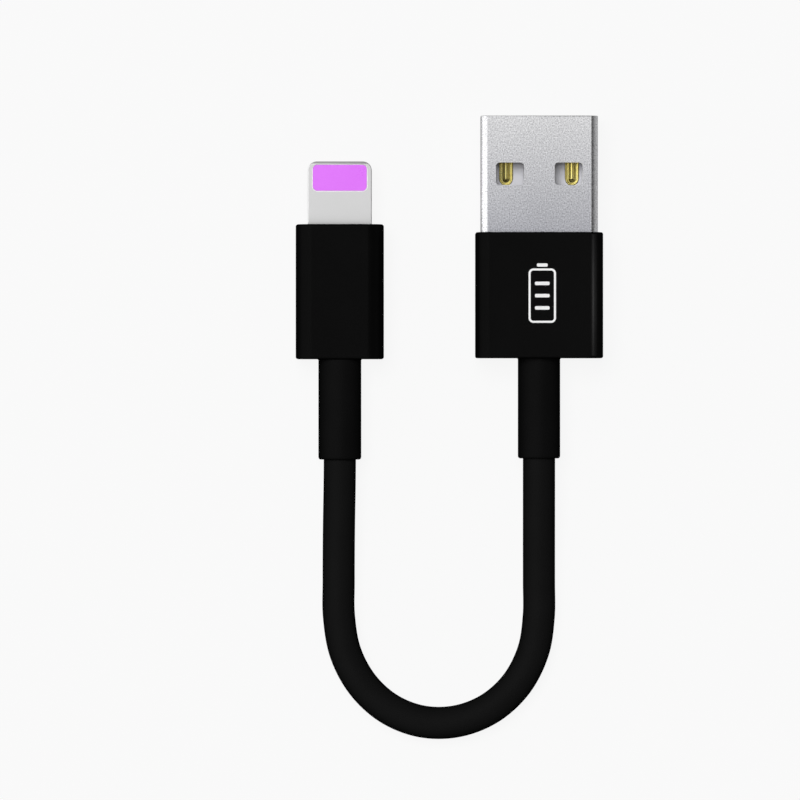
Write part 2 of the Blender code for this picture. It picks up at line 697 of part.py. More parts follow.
def smooth_curve(points, step):
    """Points read at an even step from a centripetal curve through the given points."""
    ends = [points[0] * 2 - points[1]] + points + [points[-1] * 2 - points[-2]]
    dense = []
    for i in range(1, len(ends) - 2):
        a, b, c, d = ends[i - 1:i + 3]
        times = [0.0]
        for first, second in ((a, b), (b, c), (c, d)):
            times.append(times[-1] + math.sqrt((second - first).length))
        for k in range(16):
            t = times[1] + (times[2] - times[1]) * k / 16
            low = a.lerp(b, (t - times[0]) / (times[1] - times[0]))
            mid = b.lerp(c, (t - times[1]) / (times[2] - times[1]))
            high = c.lerp(d, (t - times[2]) / (times[3] - times[2]))
            left = low.lerp(mid, (t - times[0]) / (times[2] - times[0]))
            right = mid.lerp(high, (t - times[1]) / (times[3] - times[1]))
            dense.append(left.lerp(right, (t - times[1]) / (times[2] - times[1])))
    dense.append(points[-1])
    return even_points(dense, step)


def even_points(dense, step):
    lengths = [0.0]
    for first, second in zip(dense, dense[1:]):
        lengths.append(lengths[-1] + (second - first).length)
    count = max(2, round(lengths[-1] / step))
    result = []
    index = 0
    for k in range(count + 1):
        target = lengths[-1] * k / count
        while index < len(dense) - 2 and lengths[index + 1] < target:
            index += 1
        part = (target - lengths[index]) / (lengths[index + 1] - lengths[index])
        result.append(dense[index].lerp(dense[index + 1], min(part, 1.0)))
    return result


def cord_points(usb_end, phone_end):
    """Cord centreline from a place inside the USB plug to one inside the phone plug."""
    free = smooth_curve([Vector(point) * MM for point in FREE_ROUTE_MM], ROUTE_STEP)
    start = Vector((USB_AXIS_X, usb_end, USB_AXIS_Z))
    finish = Vector((PHONE_AXIS_X, phone_end, PHONE_AXIS_Z))
    return [start, start.lerp(free[0], 0.5)] + free + [finish.lerp(free[-1], 0.5), finish]


def curve_object(name, points, radius, material=None):
    """A round tube along the points: a curve with a bevel and filled caps."""
    curve = bpy.data.curves.new(name, "CURVE")
    curve.dimensions = "3D"
    curve.bevel_depth = radius
    curve.bevel_resolution = 2
    curve.use_fill_caps = True
    spline = curve.splines.new("POLY")
    spline.points.add(len(points) - 1)
    for target, point in zip(spline.points, points):
        target.co = (*point, 1.0)
    item = bpy.data.objects.new(name, curve)
    bpy.context.scene.collection.objects.link(item)
    if material is not None:
        curve.materials.append(material)
    return item


def solid_tube_mesh(name, points, radius):
    guide = curve_object(name + "_guide", points, radius)
    bpy.context.view_layer.update()
    evaluated = guide.evaluated_get(bpy.context.evaluated_depsgraph_get())
    mesh = bpy.data.meshes.new_from_object(evaluated)
    bpy.data.objects.remove(guide, do_unlink=True)
    bm = bmesh.new()
    bm.from_mesh(mesh)
    bmesh.ops.remove_doubles(bm, verts=bm.verts, dist=0.001 * MM)
    return finish_mesh(name, bm)


def make_hollow_tube(name, points, radius, bore, material):
    """A tube whose bore runs out past both of its ends."""
    tube = place(name, solid_tube_mesh(name, points, radius), material, None)
    overrun = 2 * MM
    first = points[0] + (points[0] - points[1]).normalized() * overrun
    last = points[-1] + (points[-1] - points[-2]).normalized() * overrun
    core = solid_tube_mesh(name + "_bore", [first] + points[1:-1] + [last], bore)
    combine(tube, make_cutter(name + "_bore_cutter", core, None))
    return tube


def offset_points(points, across, up):
    """The route moved sideways and up in the plane square to it at each point."""
    moved = []
    for i, point in enumerate(points):
        before = points[max(i - 1, 0)]
        after = points[min(i + 1, len(points) - 1)]
        along = (after - before).normalized()
        side = along.cross(Vector((0.0, 0.0, 1.0))).normalized()
        moved.append(point + side * across + side.cross(along) * up)
    return moved


def fan_out(solder_start, solder_end, cord_end, steps=6):
    """A wire's last stretch: along its pad, then in an S-bend to its place in the cord."""
    handle = Vector((0.0, (solder_end.y - cord_end.y) * 0.5, 0.0))
    bend = []
    for k in range(steps):
        t = k / steps
        p, q, r, s = solder_end, solder_end - handle, cord_end + handle, cord_end
        bend.append(p * (1 - t) ** 3 + q * 3 * t * (1 - t) ** 2 + r * 3 * t * t * (1 - t) + s * t ** 3)
    return [solder_start] + bend


def make_wires(materials):
    """Four insulated wires, each whole from a USB contact to the circuit board."""
    plan = [
        ("red", "vbus", -1, 1, 1.1),
        ("white", "data_minus", -1, -1, 1.1),
        ("green", "data_plus", 1, -1, -1.1),
        ("black", "ground", 1, 1, -1.1),
    ]
    centre = cord_points(USB_JACKET_END + SHIELD_BARED, PHONE_JACKET_END + SHIELD_BARED)
    solder_z = USB_AXIS_Z + STRIP_TOP + FINE_FIT + WIRE_RADIUS
    board_z = BOARD_THICKNESS / 2 + FINE_FIT + WIRE_RADIUS
    for color, contact, across, up, board_x in plan:
        inside = offset_points(centre, across * WIRE_SPREAD, up * WIRE_SPREAD)
        usb_x = USB_AXIS_X + CONTACTS[contact][0]
        usb_fan = fan_out(Vector((usb_x, 0.5 * MM, solder_z)), Vector((usb_x, TAIL_END, solder_z)),
                          inside[0])
        phone_x = PHONE_AXIS_X - board_x * MM
        phone_z = PHONE_AXIS_Z + up * board_z
        phone_fan = fan_out(Vector((phone_x, BOARD_REAR + 0.9 * MM, phone_z)),
                            Vector((phone_x, BOARD_REAR, phone_z)), inside[-1])
        route = usb_fan + inside + phone_fan[::-1]
        curve_object("cord_wire_" + color, route, WIRE_RADIUS, materials[color])


def make_cord(materials):
    jacket = cord_points(USB_JACKET_END, PHONE_JACKET_END)
    make_hollow_tube("cord_jacket", jacket, JACKET_RADIUS, JACKET_BORE, materials["elastomer"])
    shield = cord_points(USB_JACKET_END + SHIELD_BARED, PHONE_JACKET_END + SHIELD_BARED)
    make_hollow_tube("cord_shield", shield, SHIELD_RADIUS, SHIELD_BORE, materials["braid"])
    make_wires(materials)


# ---------------------------------------------------------------- assembly

def make_usb_plug(materials):
    axis = make_axis("usb_plug_axis", USB_AXIS_X, USB_AXIS_Z)
    make_usb_sleeve(axis, materials["steel"])
    make_usb_tongue(axis, materials["tongue"])
    make_usb_contacts(axis, materials["gold"])
    make_usb_inner_mould(axis, materials["mould"])
    make_usb_crimp(axis, materials["steel"])
    make_usb_housing(axis, materials["housing"])
    make_usb_relief(axis, materials["elastomer"])


def make_phone_plug(materials):
    axis = make_axis("phone_plug_axis", PHONE_AXIS_X, PHONE_AXIS_Z)
    make_phone_frame(axis, materials["frame"])
    make_phone_contacts(axis, materials["gold"], materials["carrier"])
    make_contact_film(axis, materials["film"])
    make_circuit_board(axis, materials["board"])
    make_board_parts(axis, materials["chip"], materials["ceramic"])
    make_shield_can(axis, materials["steel"])
    make_phone_inner_mould(axis, materials["mould"])
    make_phone_crimp(axis, materials["steel"])
    make_phone_housing(axis, materials["housing"])
    make_phone_relief(axis, materials["elastomer"])


def main():
    clear_scene()
    materials = make_materials()
    make_usb_plug(materials)
    make_phone_plug(materials)
    make_cord(materials)


main()
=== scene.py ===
import json
import math
import bmesh
import bpy
from mathutils import Matrix, Vector

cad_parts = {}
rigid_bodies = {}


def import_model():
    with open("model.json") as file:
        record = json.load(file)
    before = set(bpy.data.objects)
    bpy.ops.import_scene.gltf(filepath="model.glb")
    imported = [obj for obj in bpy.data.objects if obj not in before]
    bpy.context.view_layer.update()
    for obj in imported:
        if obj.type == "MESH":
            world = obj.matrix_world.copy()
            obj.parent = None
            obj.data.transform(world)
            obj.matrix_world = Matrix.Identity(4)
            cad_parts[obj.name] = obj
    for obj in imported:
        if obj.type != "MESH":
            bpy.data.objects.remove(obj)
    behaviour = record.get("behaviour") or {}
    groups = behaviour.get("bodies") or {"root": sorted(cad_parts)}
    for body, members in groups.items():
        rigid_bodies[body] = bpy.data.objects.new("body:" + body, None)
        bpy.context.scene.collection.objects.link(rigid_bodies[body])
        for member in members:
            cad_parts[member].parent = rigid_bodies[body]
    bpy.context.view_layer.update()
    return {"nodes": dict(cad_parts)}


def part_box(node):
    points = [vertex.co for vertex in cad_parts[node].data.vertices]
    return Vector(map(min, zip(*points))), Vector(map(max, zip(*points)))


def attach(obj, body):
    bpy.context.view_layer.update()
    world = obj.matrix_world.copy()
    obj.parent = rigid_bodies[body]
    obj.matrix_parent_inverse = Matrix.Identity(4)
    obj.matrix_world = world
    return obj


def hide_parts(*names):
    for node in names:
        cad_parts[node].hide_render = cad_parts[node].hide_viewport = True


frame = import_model()
mm = 0.001

scene = bpy.context.scene
scene.view_settings.view_transform = "Standard"


def addObject(name, data):
    item = bpy.data.objects.new(name, data)
    scene.collection.objects.link(item)
    return item


def centreOf(node):
    low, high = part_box(node)
    return (Vector(low) + Vector(high)) / 2


def lowOf(node):
    return Vector(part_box(node)[0])


def highOf(node):
    return Vector(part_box(node)[1])


# Both plugs are drawn about their own axes, found from the frame.
usbAxis = Vector((centreOf("usb_sleeve").x, 0.0, centreOf("usb_sleeve").z))
phoneAxis = Vector((centreOf("phone_plug_frame").x, 0.0, centreOf("phone_plug_frame").z))

# A long lens, straight above the plugs, so the view hardly converges.
cameraSetup = {
    "lens": 400.0,
    "sensor": 36.0,
    "clip": (0.01, 20.0),
    "width": 81.84 * mm,      # what the view spans at the height of the plugs
    "aim": Vector((-5.035 * mm, -11.484 * mm, 4.0 * mm)),
}


def makeCamera(setup):
    data = bpy.data.cameras.new("topCamera")
    data.lens, data.sensor_width = setup["lens"], setup["sensor"]
    data.clip_start, data.clip_end = setup["clip"]
    camera = addObject("topCamera", data)
    distance = setup["width"] * data.lens / data.sensor_width
    camera.location = setup["aim"] + Vector((0.0, 0.0, distance))
    scene.camera = camera


makeCamera(cameraSetup)
print("camera ready")


def grey(level):
    return (level, level, level)


def feed(tree, node, feeds):
    # each input named in feeds takes a value, or a link from another node's output
    for socket, source in feeds.items():
        if isinstance(source, bpy.types.NodeSocket):
            tree.links.new(source, node.inputs[socket])
        else:
            node.inputs[socket].default_value = source


def addNode(tree, kind, feeds=None, **settings):
    node = tree.nodes.new(kind)
    for key, value in settings.items():
        setattr(node, key, value)
    feed(tree, node, feeds or {})
    return node


def addMath(tree, operation, *sources):
    node = addNode(tree, "ShaderNodeMath", dict(enumerate(sources)), operation=operation)
    return node.outputs[0]


def addRange(tree, value, low, high, lowest=0.0, highest=1.0):
    # the value carried over from one span to another, and held there
    node = addNode(tree, "ShaderNodeMapRange", {
        "Value": value, "From Min": low, "From Max": high, "To Min": lowest, "To Max": highest})
    return node.outputs[0]


def addSockets(tree, inputs, outputs):
    # the tree's own inputs and outputs, and the two nodes that stand for them inside it
    for side, kinds in (("INPUT", inputs), ("OUTPUT", outputs)):
        for kind, labels in kinds.items():
            for label in labels:
                tree.interface.new_socket(name=label, in_out=side, socket_type="NodeSocket" + kind)
    return addNode(tree, "NodeGroupInput").outputs, addNode(tree, "NodeGroupOutput")


def stretched(tree, given, scaleName):
    # the group's vector at one of its scales, drawn out along Y by its stretch
    scale = given[scaleName]
    lengthwise = addMath(tree, "MULTIPLY", scale, given["Stretch"])
    factors = addNode(tree, "ShaderNodeCombineXYZ", {"X": scale, "Y": lengthwise, "Z": scale})
    return addNode(tree, "ShaderNodeVectorMath", {0: given["Vector"], 1: factors.outputs[0]},
                   operation="MULTIPLY").outputs[0]


clouds = {
    "broadDetail": 3.0,
    "fineDetail": 4.0,
    "contrast": (0.3, 0.7),    # cloud values where one colour is alone, and the other
}

pores = {
    "detail": 5.0,
    "roughness": 0.6,
    "cellScale": 0.8,
    "pits": 0.3,              # the cells' share
    "strength": 0.3,
}


def makeToneGroup(look):
    # a broad and a fine cloud mixed between two colours; the same mask can steer roughness
    tree = bpy.data.node_groups.new("toneField", "ShaderNodeTree")
    given, result = addSockets(
        tree, {"Vector": ["Vector"], "Color": ["Base", "Second"],
               "Float": ["Broad Scale", "Fine Scale", "Fine Share", "Stretch"]},
        {"Color": ["Color"], "Float": ["Mask"]})
    broad = addNode(tree, "ShaderNodeTexNoise", {
        "Vector": given["Vector"], "Scale": given["Broad Scale"], "Detail": look["broadDetail"]})
    fine = addNode(tree, "ShaderNodeTexNoise", {
        "Vector": stretched(tree, given, "Fine Scale"), "Scale": 1.0,
        "Detail": look["fineDetail"]})
    blend = addNode(tree, "ShaderNodeMix", {
        0: given["Fine Share"], 2: broad.outputs[0], 3: fine.outputs[0]}, data_type="FLOAT")
    mask = addRange(tree, blend.outputs[0], *look["contrast"])
    paint = addNode(tree, "ShaderNodeMix", {0: mask, 6: given["Base"], 7: given["Second"]},
                    data_type="RGBA")
    feed(tree, result, {"Color": paint.outputs[2], "Mask": mask})
    return tree


def makeGrainGroup(look):
    # fine surface relief: soft moulded texture with a few pits, or drawn streaks when stretched
    tree = bpy.data.node_groups.new("grainField", "ShaderNodeTree")
    given, result = addSockets(
        tree, {"Vector": ["Vector"], "Float": ["Scale", "Stretch"]}, {"Float": ["Height"]})
    vector = stretched(tree, given, "Scale")
    noise = addNode(tree, "ShaderNodeTexNoise", {
        "Vector": vector, "Scale": 1.0, "Detail": look["detail"], "Roughness": look["roughness"]})
    cells = addNode(tree, "ShaderNodeTexVoronoi", {"Vector": vector, "Scale": look["cellScale"]})
    blend = addNode(tree, "ShaderNodeMix", {
        0: look["pits"], 2: noise.outputs[0], 3: cells.outputs["Distance"]}, data_type="FLOAT")
    feed(tree, result, {"Height": blend.outputs[0]})
    return tree


toneGroup = makeToneGroup(clouds)
grainGroup = makeGrainGroup(pores)


def paintedDarkReflection(tree, place, color, paintedReflection):
    # the colour, darkened from one place along Y to another, on the flat between the folds:
    # a painted stand-in for a dark reflection
    split = addNode(tree, "ShaderNodeSeparateXYZ", {0: place.outputs["Object"]})
    share = addRange(tree, split.outputs["Y"], paintedReflection["start"], paintedReflection["end"])
    aside = addMath(tree, "SUBTRACT", split.outputs["X"], paintedReflection["middle"])
    onFlat = addRange(tree, addMath(tree, "ABSOLUTE", aside), paintedReflection["fold"], paintedReflection["flat"])
    weight = addMath(tree, "MULTIPLY", share, onFlat)
    shade = addNode(tree, "ShaderNodeMix", {0: weight, 6: color, 7: (*paintedReflection["reflectionShade"], 1.0)},
                    data_type="RGBA", blend_type="MULTIPLY")
    return shade.outputs[2]


# Black faces that look up or down carry a thin sheen. The sides get none, to keep them dark.
polish = {
    "dullAt": 0.40,           # how squarely a face looks up or down
    "fullAt": 0.92,
}


def polished(tree, place, weight):
    split = addNode(tree, "ShaderNodeSeparateXYZ", {0: place.outputs["Normal"]})
    upright = addMath(tree, "ABSOLUTE", split.outputs["Z"])
    return addRange(tree, upright, polish["dullAt"], polish["fullAt"], 0.0, weight)


usualLook = {
    "metallic": 0.0,
    "specular": 0.5,
    "sheen": None,
    # a painted dark reflection in the base colour, only for finishes that ask for one
    "paintedReflection": None,
    "broadScale": 300.0,
    "fineScale": 6000.0,
    "fineShare": 0.3,
    "stretch": 1.0,
    "grainScale": 9000.0,
    "relief": 0.01,           # millimetres
}


def makeFinish(name, ownLook):
    # one material: tone and grain groups around a Principled shader that keeps the constants
    look = {**usualLook, **ownLook}
    material = bpy.data.materials.new(name)
    material.use_nodes = True
    tree = material.node_tree
    place = addNode(tree, "ShaderNodeTexCoord")
    tone = addNode(tree, "ShaderNodeGroup", {
        "Vector": place.outputs["Object"], "Base": (*look["base"], 1.0),
        "Second": (*look["second"], 1.0), "Broad Scale": look["broadScale"],
        "Fine Scale": look["fineScale"], "Fine Share": look["fineShare"],
        "Stretch": look["stretch"]}, node_tree=toneGroup)
    grain = addNode(tree, "ShaderNodeGroup", {
        "Vector": place.outputs["Object"], "Scale": look["grainScale"],
        "Stretch": look["stretch"]}, node_tree=grainGroup)
    bump = addNode(tree, "ShaderNodeBump", {
        "Strength": pores["strength"], "Distance": look["relief"] * mm,
        "Height": grain.outputs["Height"]})
    color = tone.outputs["Color"]
    # painted dark reflection: the base colour is darkened along Y on the sleeve's flat
    if look["paintedReflection"]:
        color = paintedDarkReflection(tree, place, color, look["paintedReflection"])
    gloss = addRange(tree, tone.outputs["Mask"], 0.0, 1.0, *look["roughness"])
    shader = tree.nodes["Principled BSDF"]
    feed(tree, shader, {"Base Color": color, "Roughness": gloss, "Normal": bump.outputs["Normal"],
                        "Metallic": look["metallic"], "Specular IOR Level": look["specular"]})
    if look["sheen"]:
        feed(tree, shader, {"Coat Weight": polished(tree, place, look["sheen"]),
                            "Coat Roughness": sum(look["roughness"]) / 2})
    material.diffuse_color = (*look["base"], 1.0)
    return material


finishes = {
    "housingPlastic": {
        "base": grey(0.0016), "second": grey(0.0022),
        "roughness": (0.24, 0.34), "specular": 0.0, "sheen": 0.058, "grainScale": 14000.0,
        "relief": 0.002},
    "reliefRubber": {
        "base": grey(0.0035), "second": grey(0.0044),
        "roughness": (0.45, 0.55), "specular": 0.0, "sheen": 0.045, "grainScale": 11000.0,
        "relief": 0.006},
    "elastomer": {
        "base": grey(0.0056), "second": grey(0.0068),
        "roughness": (0.48, 0.60), "specular": 0.0, "sheen": 0.045, "grainScale": 11000.0,
        "relief": 0.008},
    "platedSteel": {
        "base": (0.41, 0.41, 0.425), "second": (0.99, 0.99, 1.0), "metallic": 1.0,
        "roughness": (0.26, 0.36), "fineScale": 8200.0, "fineShare": 0.92, "stretch": 0.8,
        "grainScale": 9000.0, "relief": 0.005, "broadScale": 160.0,
        # painted dark reflection: the flat between the folds is painted darker towards the housing
        "paintedReflection": {"start": 17.0 * mm, "end": 6.0 * mm, "reflectionShade": (0.63, 0.635, 0.67),
                  "middle": usbAxis.x, "flat": 5.2 * mm, "fold": 5.4 * mm}},
    "frameSteel": {
        "base": grey(0.67), "second": grey(0.73), "metallic": 1.0,
        "roughness": (0.32, 0.40), "fineScale": 12000.0, "fineShare": 0.5, "relief": 0.002},
    "tonguePlastic": {
        "base": (0.58, 0.58, 0.615), "second": (0.65, 0.65, 0.69), "roughness": (0.40, 0.52),
        "relief": 0.004},
    "goldPlating": {
        "base": (1.0, 0.79, 0.17), "second": (1.0, 0.92, 0.38), "metallic": 1.0,
        "roughness": (0.16, 0.28), "stretch": 0.15, "fineShare": 0.6, "relief": 0.003},
    "violetFilm": {
        "base": (0.70, 0.155, 0.90), "second": (0.74, 0.19, 0.94), "roughness": (0.26, 0.34),
        "relief": 0.003},
    "filmLiner": {
        "base": (0.92, 0.89, 0.92), "second": (0.97, 0.95, 0.97), "roughness": (0.35, 0.45),
        "relief": 0.002},
    "carrierPlastic": {
        "base": (0.010, 0.010, 0.011), "second": (0.017, 0.017, 0.018), "roughness": (0.42, 0.55)},
    "boardMask": {
        "base": (0.008, 0.10, 0.04), "second": (0.015, 0.15, 0.06), "roughness": (0.30, 0.42)},
    "chipResin": {
        "base": (0.012, 0.012, 0.013), "second": (0.020, 0.020, 0.021), "roughness": (0.45, 0.60)},
    "tanCeramic": {
        "base": (0.38, 0.27, 0.17), "second": (0.46, 0.33, 0.21), "roughness": (0.40, 0.55)},
    "naturalMould": {
        "base": (0.66, 0.65, 0.60), "second": (0.74, 0.73, 0.68), "roughness": (0.42, 0.55)},
    "copperBraid": {
        "base": (0.60, 0.55, 0.50), "second": (0.74, 0.66, 0.58), "metallic": 1.0,
        "roughness": (0.32, 0.50), "fineShare": 0.8, "grainScale": 9000.0, "relief": 0.03},
    "whiteInk": {
        "base": grey(0.80), "second": grey(0.88), "roughness": (0.5, 0.62),
        "fineShare": 0.7, "relief": 0.003},
}
wireColors = {
    "wireRed": ((0.48, 0.015, 0.015), (0.58, 0.03, 0.025)),
    "wireWhite": ((0.70, 0.70, 0.68), (0.78, 0.78, 0.76)),
    "wireGreen": ((0.02, 0.26, 0.06), (0.04, 0.34, 0.09)),
    "wireBlack": (grey(0.015), grey(0.024)),
}
for wireName, (base, second) in wireColors.items():
    finishes[wireName] = {"base": base, "second": second, "roughness": (0.38, 0.5)}
materials = {name: makeFinish(name, look) for name, look in finishes.items()}
print("materials ready:", len(materials))


edgeHold = 0.07 * mm          # how near a rounded corner its holding points lie


def quarterTurn(steps):
    # sine and cosine, from none to a quarter of a turn
    angles = [math.pi / 2 * i / steps for i in range(steps + 1)]
    return [(math.sin(angle), math.cos(angle)) for angle in angles]


def foldArc(width, fold):
    # one fold, from the sheet's side to the crease at its flat face: a tight, then a wide arc
    crease, knee, share = math.radians(fold["crease"]), math.radians(fold["knee"]), fold["share"]
    wide = share * width / (math.sin(knee) - math.sin(crease))
    tight = (1 - share) * width / (1 - math.sin(knee))
    points = []
    for i in range(fold["steps"] + 1):
        lean = math.pi / 2 + (knee - math.pi / 2) * i / fold["steps"]
        points.append((width - tight * (1 - math.sin(lean)), tight * math.cos(lean)))
    x, z = points[-1]
    for i in range(1, fold["steps"] + 1):
        lean = knee + (crease - knee) * i / fold["steps"]
        points.append((x - wide * (math.sin(knee) - math.sin(lean)),
                       z + wide * (math.cos(lean) - math.cos(knee))))
    return points


def folded(width, height, bend, fold, hold=0.02 * mm):
    # a folded sheet's outline, whose flat faces end in a faint crease before the folds
    arc = foldArc(bend, fold)
    drop = arc[-1][1]
    quarter = [(width / 2 - bend + u, height / 2 - drop + v) for u, v in arc]
    quarter.append((width / 2 - bend - hold, height / 2))
    upper = quarter + [(-u, v) for u, v in reversed(quarter)]
    return upper + [(-u, -v) for u, v in upper]


def outline(width, height, corner, steps=9, hold=edgeHold, groove=0.0, halfGroove=0.045 * mm):
    # a rounded rectangle: holding points beside its corners, a parting groove in its narrow sides
    points = []
    signs = ((1, 1), (-1, 1), (-1, -1), (1, -1))
    for quarter, (sx, sz) in enumerate(signs):
        cx = sx * (width / 2 - corner)
        cz = sz * (height / 2 - corner)
        for i in range(steps + 1):
            angle = math.pi / 2 * (quarter + i / steps)
            points.append((cx + corner * math.cos(angle), cz + corner * math.sin(angle)))
        if quarter in (0, 2):
            reach = max(width / 2 - corner - hold, 0.5 * (width / 2 - corner))
            side = 1 if quarter == 0 else -1
            points += [(side * reach, side * height / 2), (-side * reach, side * height / 2)]
        else:
            flat = height / 2 - corner
            reach = max(flat - hold, 0.7 * flat)
            notch = min(halfGroove, 0.4 * flat)
            side = -1 if quarter == 1 else 1
            points += [(side * width / 2, -side * reach), (side * width / 2, -side * notch),
                       (side * (width / 2 - groove), 0.0),
                       (side * width / 2, side * notch), (side * width / 2, side * reach)]
    return points


def circle(radius, count):
    angles = [2 * math.pi * i / count for i in range(count)]
    return [(radius * math.cos(a), radius * math.sin(a)) for a in angles]


def standing(axis, points, y, lift=0.0):
    return [axis + Vector((u, y, v + lift)) for u, v in points]


def lying(axis, points, y, z):
    return [axis + Vector((u, y + v, z)) for u, v in points]


def joinRings(bm, rings):
    loops = [[bm.verts.new(point) for point in ring] for ring in rings]
    count = len(loops[0])
    for first, second in zip(loops, loops[1:]):
        for i in range(count):
            j = (i + 1) % count
            bm.faces.new((first[i], first[j], second[j], second[i]))
    return loops


crispAngle = 38.0             # degrees past which an edge stays sharp, on metal and film
mouldedAngle = 50.0           # the same on moulded pieces


def closeMesh(name, bm, sharp=crispAngle):
    # the finished mesh, smooth but for edges sharper than this many degrees
    bmesh.ops.recalc_face_normals(bm, faces=bm.faces)
    mesh = bpy.data.meshes.new(name)
    bm.to_mesh(mesh)
    bm.free()
    mesh.shade_smooth()
    mesh.set_sharp_from_angle(angle=math.radians(sharp))
    return mesh


def solid(name, rings, sharp=crispAngle):
    bm = bmesh.new()
    loops = joinRings(bm, rings)
    bm.faces.new(loops[0])
    bm.faces.new(loops[-1])
    return closeMesh(name, bm, sharp)


def sleeveOf(name, outer, inner, sharp=crispAngle):
    bm = bmesh.new()
    outside = joinRings(bm, outer)
    inside = joinRings(bm, inner)
    count = len(outside[0])
    for a, b in ((outside[0], inside[0]), (outside[-1], inside[-1])):
        for i in range(count):
            j = (i + 1) % count
            bm.faces.new((a[i], a[j], b[j], b[i]))
    return closeMesh(name, bm, sharp)


def evaluatedMesh(item):
    bpy.context.view_layer.update()
    graph = bpy.context.evaluated_depsgraph_get()
    return bpy.data.meshes.new_from_object(item.evaluated_get(graph))


def addPiece(name, mesh, finish, slot, *nodes):
    # a finished piece: plain mesh at the origin, riding on the one body
    piece = addObject(name, mesh)
    steady = piece.modifiers.new("steady", "WEIGHTED_NORMAL")    # keeps large flat faces flat
    steady.weight = 100
    steady.keep_sharp = True
    piece.data = evaluatedMesh(piece)
    piece.modifiers.clear()
    piece.data.materials.clear()
    piece.data.materials.append(materials[finish])
    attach(piece, "root")
    if nodes:
        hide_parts(*nodes)
    return piece


def cutMesh(name, mesh, cutters, operation="DIFFERENCE"):
    # the mesh after exact cuts by closed cutter meshes, which are then thrown away
    target = addObject(name, mesh)
    tools = []
    for cutter in cutters:
        tool = addObject(name + "Tool", cutter)
        tools.append(tool)
        modifier = target.modifiers.new("cut", "BOOLEAN")
        modifier.operation = operation
        modifier.solver = "EXACT"
        modifier.object = tool
    result = evaluatedMesh(target)
    for item in [target] + tools:
        bpy.data.objects.remove(item, do_unlink=True)
    return result


softening = {
    "weld": 0.0005 * mm,
    "flatAngle": 0.5,         # faces this near to level are one face
    "edgeAngle": 50.0,        # only edges sharper than this are rounded
    "nearFace": 0.02 * mm,    # how near a face an edge has to lie to be its own
    "around": 0.05 * mm,      # how far past an opening its edges are looked for
}


def softenEdges(name, mesh, chooses, width, segments=2):
    # rounds the sharp edges that chooses() picks by their middle point
    bm = bmesh.new()
    bm.from_mesh(mesh)
    bmesh.ops.remove_doubles(bm, verts=bm.verts, dist=softening["weld"])
    bmesh.ops.dissolve_limit(bm, angle_limit=math.radians(softening["flatAngle"]), verts=bm.verts,
                             edges=bm.edges)
    picked = []
    for edge in bm.edges:
        if len(edge.link_faces) != 2:
            continue
        if edge.calc_face_angle(0.0) < math.radians(softening["edgeAngle"]):
            continue
        if chooses((edge.verts[0].co + edge.verts[1].co) / 2):
            picked.append(edge)
    bmesh.ops.bevel(bm, geom=picked, offset=width, segments=segments, profile=0.5, affect="EDGES",
                    clamp_overlap=True)
    return closeMesh(name, bm)


def filletRings(axis, width, height, corner, front, rear, fillet, steps=6, groove=0.0):
    # rings down a long block with rounded end edges, and holding rings inside the fillets
    def ring(inset, y):
        section = outline(width - 2 * inset, height - 2 * inset, corner - inset, groove=groove)
        return standing(axis, section, y)

    turns = quarterTurn(steps)
    rings = [ring(fillet * (1 - s), front - fillet * (1 - c)) for s, c in turns]
    rings += [ring(0.0, front - fillet - edgeHold), ring(0.0, rear + fillet + edgeHold)]
    return rings + [ring(fillet * (1 - s), rear + fillet * (1 - c)) for s, c in reversed(turns)]


cord = {
    "diameter": 3.3 * mm,
    "sides": 40,
    "hidden": 1.5 * mm,        # how far each end runs on inside its strain relief
    "step": 0.45 * mm,
}

# The route between the two strain reliefs, as the CAD lays it, in millimetres.
routePoints = [
    (9.200, -17.46, 3.00), (9.200, -20.40, 2.88), (9.205, -23.60, 2.42), (9.210, -26.80, 1.94),
    (9.215, -30.20, 1.70), (9.200, -33.60, 1.68), (8.640, -37.20, 1.68), (6.920, -40.60, 1.68),
    (4.200, -43.10, 1.68), (0.800, -44.43, 1.68), (-2.800, -44.45, 1.68), (-6.170, -43.14, 1.68),
    (-8.870, -40.68, 1.68), (-10.640, -37.36, 1.68), (-11.300, -33.60, 1.68),
    (-11.325, -30.20, 1.70), (-11.315, -26.80, 1.86), (-11.280, -23.60, 2.16),
    (-11.225, -20.50, 2.42), (-11.200, -17.58, 2.50),
]


def routeInMetres():
    points = [Vector(point) * mm for point in routePoints]
    first = points[0] + Vector((0.0, cord["hidden"], 0.0))
    last = points[-1] + Vector((0.0, cord["hidden"], 0.0))
    return [first] + points + [last]


def smoothRoute(points, step):
    # a centripetal curve through the points, read at an even step
    ends = [points[0] * 2 - points[1]] + points + [points[-1] * 2 - points[-2]]
    dense = []
    for i in range(1, len(ends) - 2):
        a, b, c, d = ends[i - 1:i + 3]
        times = [0.0]
        for p, q in ((a, b), (b, c), (c, d)):
            times.append(times[-1] + math.sqrt((q - p).length))
        t0, t1, t2, t3 = times
        for k in range(20):
            t = t1 + (t2 - t1) * k / 20
            low = a.lerp(b, (t - t0) / (t1 - t0))
            mid = b.lerp(c, (t - t1) / (t2 - t1))
            high = c.lerp(d, (t - t2) / (t3 - t2))
            left = low.lerp(mid, (t - t0) / (t2 - t0))
            right = mid.lerp(high, (t - t1) / (t3 - t1))
            dense.append(left.lerp(right, (t - t1) / (t2 - t1)))
    dense.append(points[-1])
    lengths = [0.0]
    for p, q in zip(dense, dense[1:]):
        lengths.append(lengths[-1] + (q - p).length)
    count = round(lengths[-1] / step)
    even = []
    index = 0
    for k in range(count + 1):
        target = lengths[-1] * k / count
        while index < len(dense) - 2 and lengths[index + 1] < target:
            index += 1
        part = (target - lengths[index]) / (lengths[index + 1] - lengths[index])
        even.append(dense[index].lerp(dense[index + 1], min(part, 1.0)))
    return even


